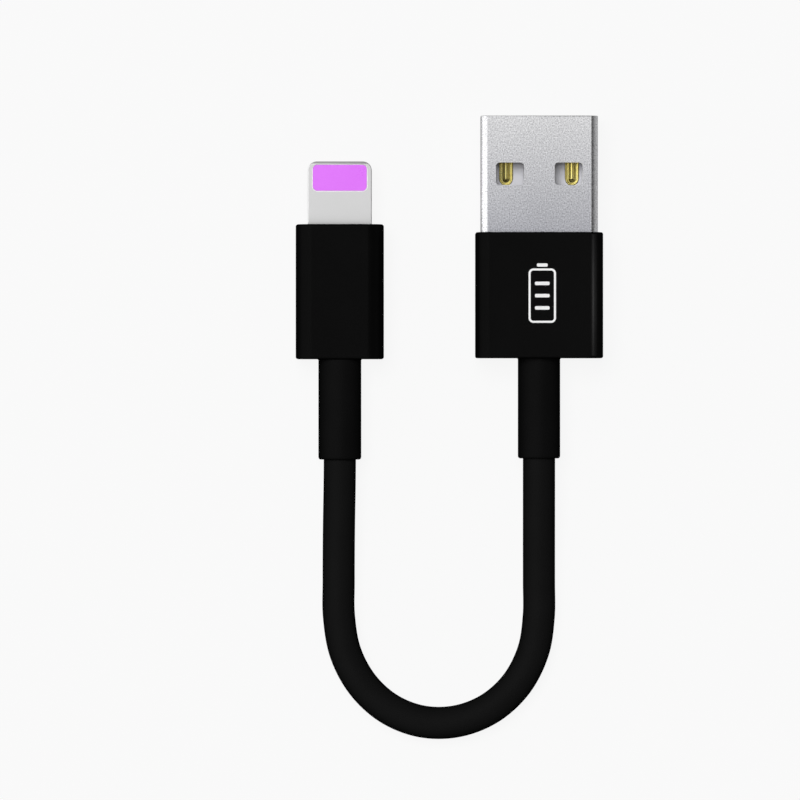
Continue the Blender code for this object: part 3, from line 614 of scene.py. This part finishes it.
def makeCord():
    route = routeInMetres()
    centre = smoothRoute(route, cord["step"])
    radius = cord["diameter"] / 2
    up = Vector((0.0, 0.0, 1.0))
    rings = []
    for i, point in enumerate(centre):
        along = (centre[min(i + 1, len(centre) - 1)] - centre[max(i - 1, 0)]).normalized()
        side = along.cross(up).normalized()
        lift = side.cross(along)
        rings.append([point + side * u + lift * v for u, v in circle(radius, cord["sides"])])
    piece = addPiece("cordJacketRound", solid("cordJacketRound", rings), "elastomer", "elastomer",
                     "cord_jacket")


makeCord()


# Rows of small rounded pads: the contacts under the film, and the bars of the printed sign.
padTree = {
    "sizes": {"Int": ["Count"], "Material": ["Finish"],
              "Float": ["Pitch", "Width", "Length", "Height", "Corner", "Chamfer"]},
    "cornerSteps": 4,
    "taper": 0.9,             # the crown's size beside the wall's
    "weld": 0.0005 * mm,
}


def makePadRowTree(look):
    # one rounded, chamfered pad, repeated along X
    tree = bpy.data.node_groups.new("padRow", "GeometryNodeTree")
    given, result = addSockets(tree, look["sizes"], {"Geometry": ["Geometry"]})
    plan = addNode(tree, "GeometryNodeCurvePrimitiveQuadrilateral", {
        "Width": given["Width"], "Height": given["Length"]})
    rounded = addNode(tree, "GeometryNodeFilletCurve", {
        "Curve": plan.outputs[0], "Count": look["cornerSteps"], "Radius": given["Corner"]},
        mode="POLY")
    face = addNode(tree, "GeometryNodeFillCurve", {0: rounded.outputs[0]}, mode="NGONS")
    wall = addNode(tree, "GeometryNodeExtrudeMesh", {
        "Mesh": face.outputs[0], "Individual": False,
        "Offset Scale": addMath(tree, "SUBTRACT", given["Height"], given["Chamfer"])})
    crown = addNode(tree, "GeometryNodeExtrudeMesh", {
        "Mesh": wall.outputs["Mesh"], "Selection": wall.outputs["Top"], "Individual": False,
        "Offset Scale": given["Chamfer"]})
    taper = addNode(tree, "GeometryNodeScaleElements", {
        "Geometry": crown.outputs["Mesh"], "Selection": crown.outputs["Top"],
        "Scale": look["taper"]})
    underside = addNode(tree, "GeometryNodeFlipFaces", {0: face.outputs[0]})
    both = addNode(tree, "GeometryNodeJoinGeometry")
    for part in (taper, underside):
        feed(tree, both, {0: part.outputs[0]})
    pad = addNode(tree, "GeometryNodeMergeByDistance", {
        "Geometry": both.outputs[0], "Distance": look["weld"]})

    gaps = addMath(tree, "SUBTRACT", given["Count"], 1.0)
    span = addMath(tree, "MULTIPLY", gaps, given["Pitch"])
    start = addNode(tree, "ShaderNodeCombineXYZ", {"X": addMath(tree, "MULTIPLY", span, -0.5)})
    step = addNode(tree, "ShaderNodeCombineXYZ", {"X": given["Pitch"]})
    line = addNode(tree, "GeometryNodeMeshLine", {
        "Count": given["Count"], "Start Location": start.outputs[0], "Offset": step.outputs[0]},
        mode="OFFSET")
    copies = addNode(tree, "GeometryNodeInstanceOnPoints", {
        "Points": line.outputs[0], "Instance": pad.outputs[0]})
    real = addNode(tree, "GeometryNodeRealizeInstances", {0: copies.outputs[0]})
    painted = addNode(tree, "GeometryNodeSetMaterial", {
        "Geometry": real.outputs[0], "Material": given["Finish"]})
    feed(tree, result, {"Geometry": painted.outputs[0]})
    return tree


padRowTree = makePadRowTree(padTree)


def padRow(name, values, turn, place):
    # the row as a plain mesh, turned and then moved to its place
    holder = addObject(name + "Holder", bpy.data.meshes.new(name + "Holder"))
    modifier = holder.modifiers.new("padRow", "NODES")
    modifier.node_group = padRowTree
    for item in padRowTree.interface.items_tree:
        if item.in_out == "INPUT" and item.name in values:
            modifier[item.identifier] = values[item.name]
    mesh = evaluatedMesh(holder)
    bpy.data.objects.remove(holder, do_unlink=True)
    bm = bmesh.new()
    bm.from_mesh(mesh)
    bmesh.ops.rotate(bm, verts=bm.verts, cent=(0.0, 0.0, 0.0), matrix=turn)
    bmesh.ops.translate(bm, verts=bm.verts, vec=place)
    return closeMesh(name, bm)


reliefShape = {
    "flangeThickness": 1.0 * mm,
    "flangeCorner": 0.34,      # share of the flange's height
    "housingGap": 0.012 * mm,
    "flare": 0.13 * mm,        # the small root fillet against the housing
    "mouth": 0.28 * mm,
    "mouthSlope": 0.8,
    "boreGap": 0.05 * mm,
    "boreFlare": 0.04 * mm,
    "hold": 0.1 * mm,
}


def makeRelief(name, node, axis, radius, housingNode, shape):
    low, high = lowOf(node), highOf(node)
    rear = lowOf(housingNode).y - shape["housingGap"]
    flare, mouth = shape["flare"], shape["mouth"]
    flange = outline(high.x - low.x, high.z - low.z, shape["flangeCorner"] * (high.z - low.z))
    flangeRear = high.y - shape["flangeThickness"]

    def hoop(size, y):
        return standing(axis, circle(size, len(flange)), y)

    outer = [standing(axis, flange, high.y), standing(axis, flange, flangeRear),
             hoop(radius, flangeRear), hoop(radius, rear)]
    outer += [hoop(radius + flare * (1 - s), rear - flare * (1 - c)) for s, c in quarterTurn(5)]
    outer.append(hoop(radius, low.y + mouth + shape["hold"]))
    outer += [hoop(radius - shape["mouthSlope"] * mouth * (1 - c), low.y + mouth * (1 - s))
              for s, c in quarterTurn(6)]
    bore = cord["diameter"] / 2 + shape["boreGap"]
    inner = [hoop(bore, high.y), hoop(bore, low.y + shape["hold"]),
             hoop(bore + shape["boreFlare"], low.y)]
    mesh = sleeveOf(name, outer, inner, mouldedAngle)
    return addPiece(name, mesh, "reliefRubber", "elastomer", node)


makeRelief("usbReliefMoulded", "usb_strain_relief", usbAxis, 2.165 * mm, "usb_housing",
           reliefShape)
makeRelief("phoneReliefMoulded", "phone_strain_relief", phoneAxis, 2.195 * mm, "phone_housing",
           reliefShape)
print("strain reliefs ready")

sleeveSize = highOf("usb_sleeve") - lowOf("usb_sleeve")

moulding = {
    "wall": 1.0 * mm,
    "lip": 0.05 * mm,
    "groove": 0.025 * mm,
    "gap": 0.05 * mm,
}

usbHousingShape = {
    "edge": 1.4 * mm,
    "fillet": 0.2 * mm,
    "opening": (sleeveSize.x, sleeveSize.z, 0.71 * mm),
    "hole": 2.2 * mm,
}

phoneHousingShape = {
    "edge": 1.6 * mm,
    "fillet": 0.24 * mm,
    "frontWall": 1.2 * mm,
    "opening": (6.55 * mm, 1.5 * mm, 0.08 * mm),
    "cavity": (7.94 * mm, 4.0 * mm, 1.1 * mm),
    "hole": 2.23 * mm,
}


def makeHousing(name, node, axis, shape):
    low, high = lowOf(node), highOf(node)
    outer = filletRings(axis, high.x - low.x, high.z - low.z, shape["edge"], high.y, low.y,
                        shape["fillet"], groove=moulding["groove"])
    wide, tall, bend = shape["opening"]

    def opening(spread):
        return outline(wide + 2 * spread, tall + 2 * spread, bend + spread)

    gap, lip = moulding["gap"], moulding["lip"]
    rearInside = low.y + moulding["wall"]
    stations = [(opening(gap + lip), high.y), (opening(gap), high.y - lip)]
    if "cavity" in shape:
        cavity = outline(*shape["cavity"])
        frontInside = high.y - shape["frontWall"]
        stations += [(opening(gap), frontInside), (cavity, frontInside), (cavity, rearInside)]
    else:
        stations.append((opening(gap), rearInside))
    hole = circle(shape["hole"], len(stations[0][0]))
    stations += [(hole, rearInside), (hole, low.y)]
    inner = [standing(axis, section, y) for section, y in stations]
    mesh = sleeveOf(name, outer, inner, mouldedAngle)
    return addPiece(name, mesh, "housingPlastic", "housing_plastic", node)


makeHousing("usbHousingMoulded", "usb_housing", usbAxis, usbHousingShape)
makeHousing("phoneHousingMoulded", "phone_housing", phoneAxis, phoneHousingShape)
print("housings ready")


sleeveShape = {
    "sheet": 0.3 * mm,
    "bend": 0.71 * mm,
    "fold": {"crease": 11.0, "knee": 50.0, "share": 0.84, "steps": 8},    # degrees of lean
    "tipRound": 0.1 * mm,
    "innerTipRound": 0.07 * mm,
    "bendInset": 0.85,        # how much the inner fold shrinks for each unit of sheet
    "window": (2.85 * mm, 2.3 * mm, 0.36 * mm),
    "windowFromTip": 5.95 * mm,
    "windowOffset": 3.0 * mm,
    "punchRound": 0.15 * mm,
    "seam": 0.06 * mm,
    "seamReach": 0.8 * mm,    # how deep the seam's cutter goes, through the lower sheet only
    "keyHalf": 1.1 * mm,
    "keyDepth": 0.9 * mm,
    "keyFlare": 0.35 * mm,
    "keyY": 8.9 * mm,
}


def ribbon(points, width):
    # outline of a thin line of one width along the points
    left, right = [], []
    for i, point in enumerate(points):
        here = Vector(point)
        into = (here - Vector(points[max(i - 1, 0)])) if i > 0 else Vector(points[1]) - here
        out = (Vector(points[i + 1]) - here) if i < len(points) - 1 else into
        into, out = into.normalized(), out.normalized()
        across = Vector((-into.y - out.y, into.x + out.x)).normalized()
        reach = width / 2 / max(0.3, across.dot(Vector((-into.y, into.x))))
        left.append(here + across * reach)
        right.append(here - across * reach)
    return [tuple(p) for p in left + right[::-1]]


def makeSleeve(shape):
    low, high = lowOf("usb_sleeve"), highOf("usb_sleeve")
    width, height, bend, sheet = high.x - low.x, high.z - low.z, shape["bend"], shape["sheet"]
    tip, innerTip = shape["tipRound"], shape["innerTipRound"]

    def ringAt(spread, inward, y):
        section = folded(width + 2 * (spread - inward), height + 2 * (spread - inward),
                         bend + spread - shape["bendInset"] * inward, shape["fold"])
        return standing(usbAxis, section, y)

    outer, inner = [], []
    for s, c in quarterTurn(4):
        outer.append(ringAt(-tip * (1 - s), 0.0, high.y - tip * (1 - c)))
        inner.append(ringAt(innerTip * (1 - s), sheet, high.y - innerTip * (1 - c)))
    for rings, inward in ((outer, 0.0), (inner, sheet)):
        rings.append(ringAt(0.0, inward, high.y - 2 * tip))
        rings.append(ringAt(0.0, inward, low.y))
    body = sleeveOf("usbSleeveFolded", outer, inner)
    windowY = high.y - shape["windowFromTip"]
    middle = usbAxis.copy()
    middle.z = 0.0
    cutters = []
    for side in (-1, 1):
        window = outline(*shape["window"], steps=6, hold=0.2 * mm)
        centre = middle + Vector((side * shape["windowOffset"], 0.0, 0.0))
        rings = [lying(centre, window, windowY, z) for z in (low.z - mm, high.z + mm)]
        cutters.append(solid("window", rings))
    keyTop = shape["keyY"] + shape["keyHalf"]
    keyLow = shape["keyY"] - shape["keyHalf"]
    line = [(0.0, high.y + mm), (0.0, keyTop), (-shape["keyDepth"], keyTop + shape["keyFlare"]),
            (-shape["keyDepth"], keyLow - shape["keyFlare"]), (0.0, keyLow), (0.0, low.y - mm)]
    seam = ribbon(line, shape["seam"])
    rings = [lying(middle, seam, 0.0, z) for z in (low.z - mm, low.z + shape["seamReach"])]
    cutters.append(solid("seam", rings))
    cut = cutMesh("usbSleeveFolded", body, cutters)
    reachX = shape["windowOffset"] + shape["window"][0] / 2 + softening["around"]
    reachY = shape["window"][1] / 2 + softening["around"]

    def onPunchedEdge(p):
        across = abs(p.x - usbAxis.x)
        inWindow = abs(p.y - windowY) < reachY and 0.5 * mm < across < reachX
        onSeam = p.z < usbAxis.z and across < mm and low.y + tip < p.y < high.y - 2 * tip
        onOuterFace = abs(p.z - usbAxis.z) > height / 2 - softening["nearFace"]
        return onOuterFace and (inWindow or onSeam)

    mesh = softenEdges("usbSleeveFolded", cut, onPunchedEdge, shape["punchRound"])
    return addPiece("usbSleeveFolded", mesh, "platedSteel", "plated_steel", "usb_sleeve")


makeSleeve(sleeveShape)
print("sleeve ready")


padShape = {
    "front": 16.4 * mm,
    "rear": 10.5 * mm,
    # share of the way in from the pad's outline to its middle line, and height above its rim
    "profile": ((0.0, -0.30 * mm), (0.0, -0.03 * mm), (0.04, 0.0), (0.20, 0.0),
                (0.27, -0.05 * mm), (0.36, -0.07 * mm), (0.50, -0.04 * mm),
                (0.61, 0.05 * mm), (0.73, 0.13 * mm), (0.85, 0.18 * mm),
                (0.93, 0.195 * mm), (0.98, 0.20 * mm)),
    "rim": -0.30 * mm,         # height of the rim, from the plug's axis
    "strip": (1.0 * mm, -0.85 * mm, -0.55 * mm),    # width, floor and top of the tail
    "stripCorner": 0.05 * mm,
    "stripOverlap": 1.2 * mm,
    "stripLift": 0.012 * mm,
}


def pill(width, front, rear, inset, steps=14):
    radius = width / 2 - inset
    points = []
    for y, begin in ((front - width / 2, 0.0), (rear + width / 2, math.pi)):
        for i in range(steps + 1):
            angle = begin + math.pi * i / steps
            points.append((radius * math.cos(angle), y + radius * math.sin(angle)))
    return points


def makeUsbContact(node, shape):
    low, high = lowOf(node), highOf(node)
    axis = Vector((centreOf(node).x, 0.0, 0.0))
    rim = usbAxis.z + shape["rim"]
    width = high.x - low.x
    rings = []
    for share, rise in shape["profile"]:
        plan = pill(width, shape["front"], shape["rear"], share * width / 2)
        rings.append(lying(axis, plan, 0.0, rim + rise))
    name = node.replace("usb_contact_", "usbContact")
    wide, floor, top = shape["strip"]
    stripFront = shape["rear"] + shape["stripOverlap"]
    strip = outline(wide, top - floor, shape["stripCorner"], steps=3, hold=0.02 * mm)
    middle = Vector((axis.x, 0.0, usbAxis.z + (floor + top) / 2 + shape["stripLift"]))
    tail = solid("tail", [standing(middle, strip, stripFront), standing(middle, strip, low.y)])
    mesh = cutMesh(name, solid(name, rings), [tail], "UNION")
    mesh.shade_smooth()
    mesh.set_sharp_from_angle(angle=math.radians(mouldedAngle))
    return addPiece(name, mesh, "goldPlating", "gold", node)


for contactNode in ("usb_contact_vbus", "usb_contact_data_minus", "usb_contact_data_plus",
                    "usb_contact_ground"):
    makeUsbContact(contactNode, padShape)
print("USB contacts ready")


frameShape = {
    "width": 6.55 * mm,
    "height": 1.5 * mm,
    "edge": 0.08 * mm,
    "planCorner": 0.95 * mm,
    "hold": 0.1 * mm,
    "nose": 0.35 * mm,
    "collar": (7.4 * mm, 2.6 * mm, 0.9 * mm),
    "collarFront": 5.22 * mm,
    "patchGap": 0.02 * mm,
    "patchCorner": 0.45 * mm,
    "windowRound": 0.06 * mm,
    "slot": (5.2 * mm, 0.86 * mm, 0.02 * mm),
    "slotReach": 0.7 * mm,    # past the middle of the contact patch
    "detentRadius": 0.6 * mm,
    "detentDepth": 0.22 * mm,
    "detentY": 8.8 * mm,
}


def makePhoneFrame(shape):
    low, high = lowOf("phone_plug_frame"), highOf("phone_plug_frame")
    patchLow, patchHigh = lowOf("phone_contact_film"), highOf("phone_contact_film")
    patchY = (patchLow.y + patchHigh.y) / 2
    nose, corner = shape["nose"], shape["planCorner"]
    rings = []
    for s, c in quarterTurn(12):
        depth = corner * (1 - c)
        width = shape["width"] - 2 * corner * (1 - s)
        short = max(nose - depth, 0.0)
        height = shape["height"] - 2 * (nose - math.sqrt(nose * nose - short * short))
        edge = min(shape["edge"], 0.45 * height)
        rings.append(standing(phoneAxis, outline(width, height, edge), high.y - depth))
    blade = outline(shape["width"], shape["height"], shape["edge"])
    collar = outline(*shape["collar"])
    rings += [standing(phoneAxis, blade, high.y - corner - shape["hold"]),
              standing(phoneAxis, blade, shape["collarFront"]),
              standing(phoneAxis, collar, shape["collarFront"]),
              standing(phoneAxis, collar, low.y)]
    gap = shape["patchGap"]
    window = outline(patchHigh.x - patchLow.x + 2 * gap, patchHigh.y - patchLow.y + 2 * gap,
                     shape["patchCorner"] + gap, steps=8, hold=0.2 * mm)
    flat = Vector((phoneAxis.x, 0.0, 0.0))
    through = [lying(flat, window, patchY, z) for z in (low.z - mm, high.z + mm)]
    cutters = [solid("patchWindow", through)]
    board = outline(*shape["slot"], steps=1, hold=0.1 * mm)
    cutters.append(solid("boardSlot", [standing(phoneAxis, board, patchY + shape["slotReach"]),
                                       standing(phoneAxis, board, low.y - mm)]))
    for side in (-1, 1):
        bm = bmesh.new()
        bmesh.ops.create_icosphere(bm, subdivisions=4, radius=shape["detentRadius"])
        reach = shape["width"] / 2 + shape["detentRadius"] - shape["detentDepth"]
        place = phoneAxis + Vector((side * reach, shape["detentY"], 0.0))
        bmesh.ops.translate(bm, verts=bm.verts, vec=place)
        cutters.append(closeMesh("detent", bm))
    cut = cutMesh("phoneFramePolished", solid("phoneFramePolished", rings), cutters)
    reachX = (patchHigh.x - patchLow.x) / 2 + gap + softening["around"]
    reachY = (patchHigh.y - patchLow.y) / 2 + gap + softening["around"]

    def onWindowEdge(p):
        inWindow = abs(p.y - patchY) < reachY and abs(p.x - phoneAxis.x) < reachX
        return inWindow and abs(p.z - phoneAxis.z) > shape["height"] / 2 - softening["nearFace"]

    mesh = softenEdges("phoneFramePolished", cut, onWindowEdge, shape["windowRound"])
    return addPiece("phoneFramePolished", mesh, "frameSteel", "frame_steel", "phone_plug_frame")


makePhoneFrame(frameShape)

contactRow = {
    "Count": 8,
    "Pitch": 0.66 * mm,
    "Width": 0.44 * mm,
    "Length": 2.2 * mm,
    "Height": 0.27 * mm,
    "Corner": 0.1 * mm,
    "Chamfer": 0.025 * mm,
    "Finish": materials["goldPlating"],
}


def makePhoneContacts(row):
    for face, sign in (("top", 1), ("bottom", -1)):
        nodes = ["phone_contact_%s_%d" % (face, i) for i in range(1, row["Count"] + 1)]
        low, high = lowOf(nodes[0]), highOf(nodes[0])
        inner = low.z if sign > 0 else high.z
        turn = Matrix.Identity(3) if sign > 0 else Matrix.Rotation(math.pi, 3, "Y")
        name = "phoneContacts" + face.capitalize()
        mesh = padRow(name, row, turn, Vector((phoneAxis.x, (low.y + high.y) / 2, inner)))
        addPiece(name, mesh, "goldPlating", "gold", *nodes)


makePhoneContacts(contactRow)

filmShape = {
    "corner": 0.45 * mm,
    "edgeRound": 0.02 * mm,
    "margin": 0.085 * mm,      # the pale liner's border, all round but at the nose
    "linerGap": 0.001 * mm,
    "linerRise": 0.014 * mm,
}


def printOutline(width, height, corner):
    return outline(width, height, corner, hold=0.2 * mm)


def makeFilm(shape):
    low, high = lowOf("phone_contact_film"), highOf("phone_contact_film")
    axis = Vector(((low.x + high.x) / 2, 0.0, 0.0))
    y = (low.y + high.y) / 2
    soft = shape["edgeRound"]
    levels = [(0.0, low.z), (0.0, high.z - soft)]
    levels += [(soft * (1 - c), high.z - soft * (1 - s)) for s, c in quarterTurn(3)[1:]]
    width, length = high.x - low.x, high.y - low.y
    rings = []
    for inset, z in levels:
        plan = printOutline(width - 2 * inset, length - 2 * inset, shape["corner"] - inset)
        rings.append(lying(axis, plan, y, z))
    film = solid("phoneFilm", rings, mouldedAngle)
    addPiece("phoneFilm", film, "violetFilm", "violet_film", "phone_contact_film")
    margin = shape["margin"]
    top = phoneAxis.z + frameShape["height"] / 2
    plan = printOutline(width + 2 * margin, length + margin, shape["corner"] + margin)
    hole = printOutline(width + soft, length + soft, shape["corner"] + soft / 2)
    levels = (top + shape["linerGap"], top + shape["linerRise"])
    liner = sleeveOf("filmLiner", [lying(axis, plan, y - margin / 2, z) for z in levels],
                     [lying(axis, hole, y, z) for z in levels], mouldedAngle)
    addPiece("filmLiner", liner, "filmLiner", "violet_film")


makeFilm(filmShape)
print("phone plug ready")


# The printed sign on the USB housing, a plain battery.
sign = {
    "width": 2.8 * mm,
    "length": 5.55 * mm,
    "corner": 0.5 * mm,
    "line": 0.21 * mm,
    "knob": (1.1 * mm, 0.34 * mm, 0.12 * mm),
    "knobGap": 0.18 * mm,
    "centreX": 0.29 * mm,      # from the plug's axis
    "centreY": -0.83 * mm,
    "ink": 0.012 * mm,
    "proud": 0.004 * mm,
}

signBars = {
    "Count": 3,
    "Pitch": 1.25 * mm,
    "Width": 0.36 * mm,
    "Length": 1.50 * mm,
    "Height": sign["ink"],
    "Corner": 0.12 * mm,
    "Chamfer": 0.002 * mm,
    "Finish": materials["whiteInk"],
}


def makeSign(shape, bars):
    top = highOf("usb_housing").z + shape["proud"]
    floor = top - shape["ink"]
    base = Vector((usbAxis.x + shape["centreX"], 0.0, 0.0))
    y = shape["centreY"]
    line = shape["line"]
    width, length, corner = shape["width"], shape["length"], shape["corner"]
    outside = printOutline(width, length, corner)
    inside = printOutline(width - 2 * line, length - 2 * line, corner - line)

    def inkRings(plan, at):
        return [lying(base, plan, at, z) for z in (floor, top)]

    frameMesh = sleeveOf("signFrame", inkRings(outside, y), inkRings(inside, y))
    addPiece("signFrame", frameMesh, "whiteInk", "wire_white")
    knobWide, knobLong, knobCorner = shape["knob"]
    knob = outline(knobWide, knobLong, knobCorner, hold=0.05 * mm)
    knobY = y + shape["length"] / 2 + shape["knobGap"] + knobLong / 2
    addPiece("signKnob", solid("signKnob", inkRings(knob, knobY)), "whiteInk", "wire_white")
    turn = Matrix.Rotation(math.pi / 2, 3, "Z")
    barMesh = padRow("signBars", bars, turn, Vector((base.x, y, floor)))
    addPiece("signBars", barMesh, "whiteInk", "wire_white")


makeSign(sign, signBars)
print("sign ready")


# Inner pieces keep the frame's own meshes and only get their finishes.
innerFinishes = {
    "tonguePlastic": ("usb_tongue",),
    "naturalMould": ("usb_inner_mould", "phone_inner_mould"),
    "platedSteel": ("usb_cable_crimp", "phone_shield_can", "phone_cable_crimp"),
    "copperBraid": ("cord_shield",),
    "carrierPlastic": ("phone_contact_carrier_top", "phone_contact_carrier_bottom"),
    "boardMask": ("phone_circuit_board",),
    "chipResin": ("phone_controller_chip", "phone_power_switch_chip"),
    "tanCeramic": ["phone_capacitor_%d" % i for i in (1, 2, 3, 4)],
}

for colorName in ("red", "white", "green", "black"):
    innerFinishes["wire" + colorName.capitalize()] = ("cord_wire_" + colorName,)

for finishName, nodeNames in innerFinishes.items():
    for nodeName in nodeNames:
        slots = frame["nodes"][nodeName].data.materials
        slots.clear()
        slots.append(materials[finishName])
print("inner pieces painted")


white = (1.0, 1.0, 1.0, 1.0)

floorLook = {
    "size": 4.0,
    "base": 0.05,
    "glow": 0.898,            # what the pale floor shows on its own
    "bounce": 0.49,           # what polished faces see of it
}


def makeFloor(look):
    bm = bmesh.new()
    bmesh.ops.create_grid(bm, x_segments=1, y_segments=1, size=look["size"])
    mesh = bpy.data.meshes.new("floor")
    bm.to_mesh(mesh)
    bm.free()
    floor = addObject("floor", mesh)
    material = bpy.data.materials.new("paleFloor")
    material.use_nodes = True
    tree = material.node_tree
    ray = addNode(tree, "ShaderNodeLightPath").outputs
    bounce = addMath(tree, "MULTIPLY", ray["Is Glossy Ray"], look["bounce"])
    glow = addNode(tree, "ShaderNodeMix", {0: ray["Is Camera Ray"], 2: bounce, 3: look["glow"]},
                   data_type="FLOAT")
    feed(tree, tree.nodes["Principled BSDF"], {
        "Base Color": (*grey(look["base"]), 1.0), "Roughness": 1.0,
        "Specular IOR Level": 0.0, "Emission Color": white, "Emission Strength": glow.outputs[0]})
    mesh.materials.append(material)


studio = {
    # what polished faces see, from left (-1) through overhead (0) to right (1)
    "sides": ((-1.0, 0.98), (-0.60, 0.90), (-0.20, 0.90), (-0.07, 0.77), (0.0, 0.69),
              (0.08, 0.49), (0.22, 0.05), (0.66, 0.05), (0.86, 0.18), (1.0, 0.34)),
    # and from rear to front
    "ends": ((-1.0, 0.64), (-0.4, 0.8), (0.08, 0.8), (0.3, 1.0), (0.5, 0.85), (0.75, 0.4),
             (1.0, 0.3)),
    "strength": 2.0,
    "fill": 0.10,             # even light on matt faces, beside the overhead lamp
    "backdrop": 0.948,
}


def rampAlong(tree, socket, stops):
    # grey levels along one direction of the surroundings, from -1 to 1
    ramp = addNode(tree, "ShaderNodeValToRGB", {0: addRange(tree, socket, -1.0, 1.0)})
    elements = ramp.color_ramp.elements
    for i, (side, share) in enumerate(stops):
        position = (side + 1) / 2
        element = elements[i] if i < 2 else elements.new(position)
        element.position = position
        element.color = (*grey(share), 1.0)
    return ramp.outputs["Color"]


def makeWorld(look):
    world = bpy.data.worlds.new("softStudio")
    scene.world = world
    world.use_nodes = True
    tree = world.node_tree
    place = addNode(tree, "ShaderNodeTexCoord")
    split = addNode(tree, "ShaderNodeSeparateXYZ", {0: place.outputs["Generated"]})
    both = addNode(tree, "ShaderNodeVectorMath", {
        0: rampAlong(tree, split.outputs["X"], look["sides"]),
        1: rampAlong(tree, split.outputs["Y"], look["ends"])}, operation="MULTIPLY")
    seen = tree.nodes["Background"]
    feed(tree, seen, {"Color": both.outputs[0], "Strength": look["strength"]})
    fill, plain = [addNode(tree, "ShaderNodeBackground", {"Color": white, "Strength": look[name]})
                   for name in ("fill", "backdrop")]
    ray = addNode(tree, "ShaderNodeLightPath").outputs
    matt = addNode(tree, "ShaderNodeMixShader", {
        0: ray["Is Diffuse Ray"], 1: seen.outputs[0], 2: fill.outputs[0]})
    direct = addNode(tree, "ShaderNodeMixShader", {
        0: ray["Is Camera Ray"], 1: matt.outputs[0], 2: plain.outputs[0]})
    feed(tree, tree.nodes["World Output"], {"Surface": direct.outputs[0]})


overhead = {
    "strength": 2.84,
    "angle": 36.0,            # a broad, soft source
    "towards": Vector((-0.17, 0.24, 1.0)),
}


def addLamp(name, kind):
    data = bpy.data.lights.new(name, kind)
    return addObject(name, data), data


def makeOverhead(look):
    light, data = addLamp("overheadLamp", "SUN")
    data.energy = look["strength"]
    data.angle = math.radians(look["angle"])
    light.rotation_euler = look["towards"].to_track_quat("Z", "Y").to_euler()
    light.visible_glossy = False


# Two narrow lamps that only draw the gloss line down the right edge of the USB housing.
strips = {
    "lamps": {
        "edgeLine": {"radiance": 72.0, "width": 5.0 * mm, "tilt": 30.0},
        "edgeFade": {"radiance": 8.0, "width": 20.0 * mm, "tilt": 48.0},
    },
    "length": 7.0 * mm,
    "reach": 40.0 * mm,
    "edge": Vector((14.7 * mm, -0.3 * mm, 6.0 * mm)),
    "lights": "usbHousingMoulded",
}


def makeStrip(name, lamp, look):
    light, data = addLamp(name, "AREA")
    data.shape = "RECTANGLE"
    data.size = lamp["width"]
    data.size_y = look["length"]
    data.energy = lamp["radiance"] * math.pi * lamp["width"] * look["length"]
    tilt = math.radians(lamp["tilt"])
    light.location = look["edge"] + look["reach"] * Vector((math.sin(tilt), 0.0, math.cos(tilt)))
    light.rotation_euler = (0.0, tilt, 0.0)
    light.visible_camera = False
    light.visible_diffuse = False
    lit = bpy.data.collections.new(name + "Lit")
    lit.objects.link(bpy.data.objects[look["lights"]])
    light.light_linking.receiver_collection = lit


makeFloor(floorLook)
makeWorld(studio)
makeOverhead(overhead)
for lampName, lampLook in strips["lamps"].items():
    makeStrip(lampName, lampLook, strips)
print("floor and light ready")
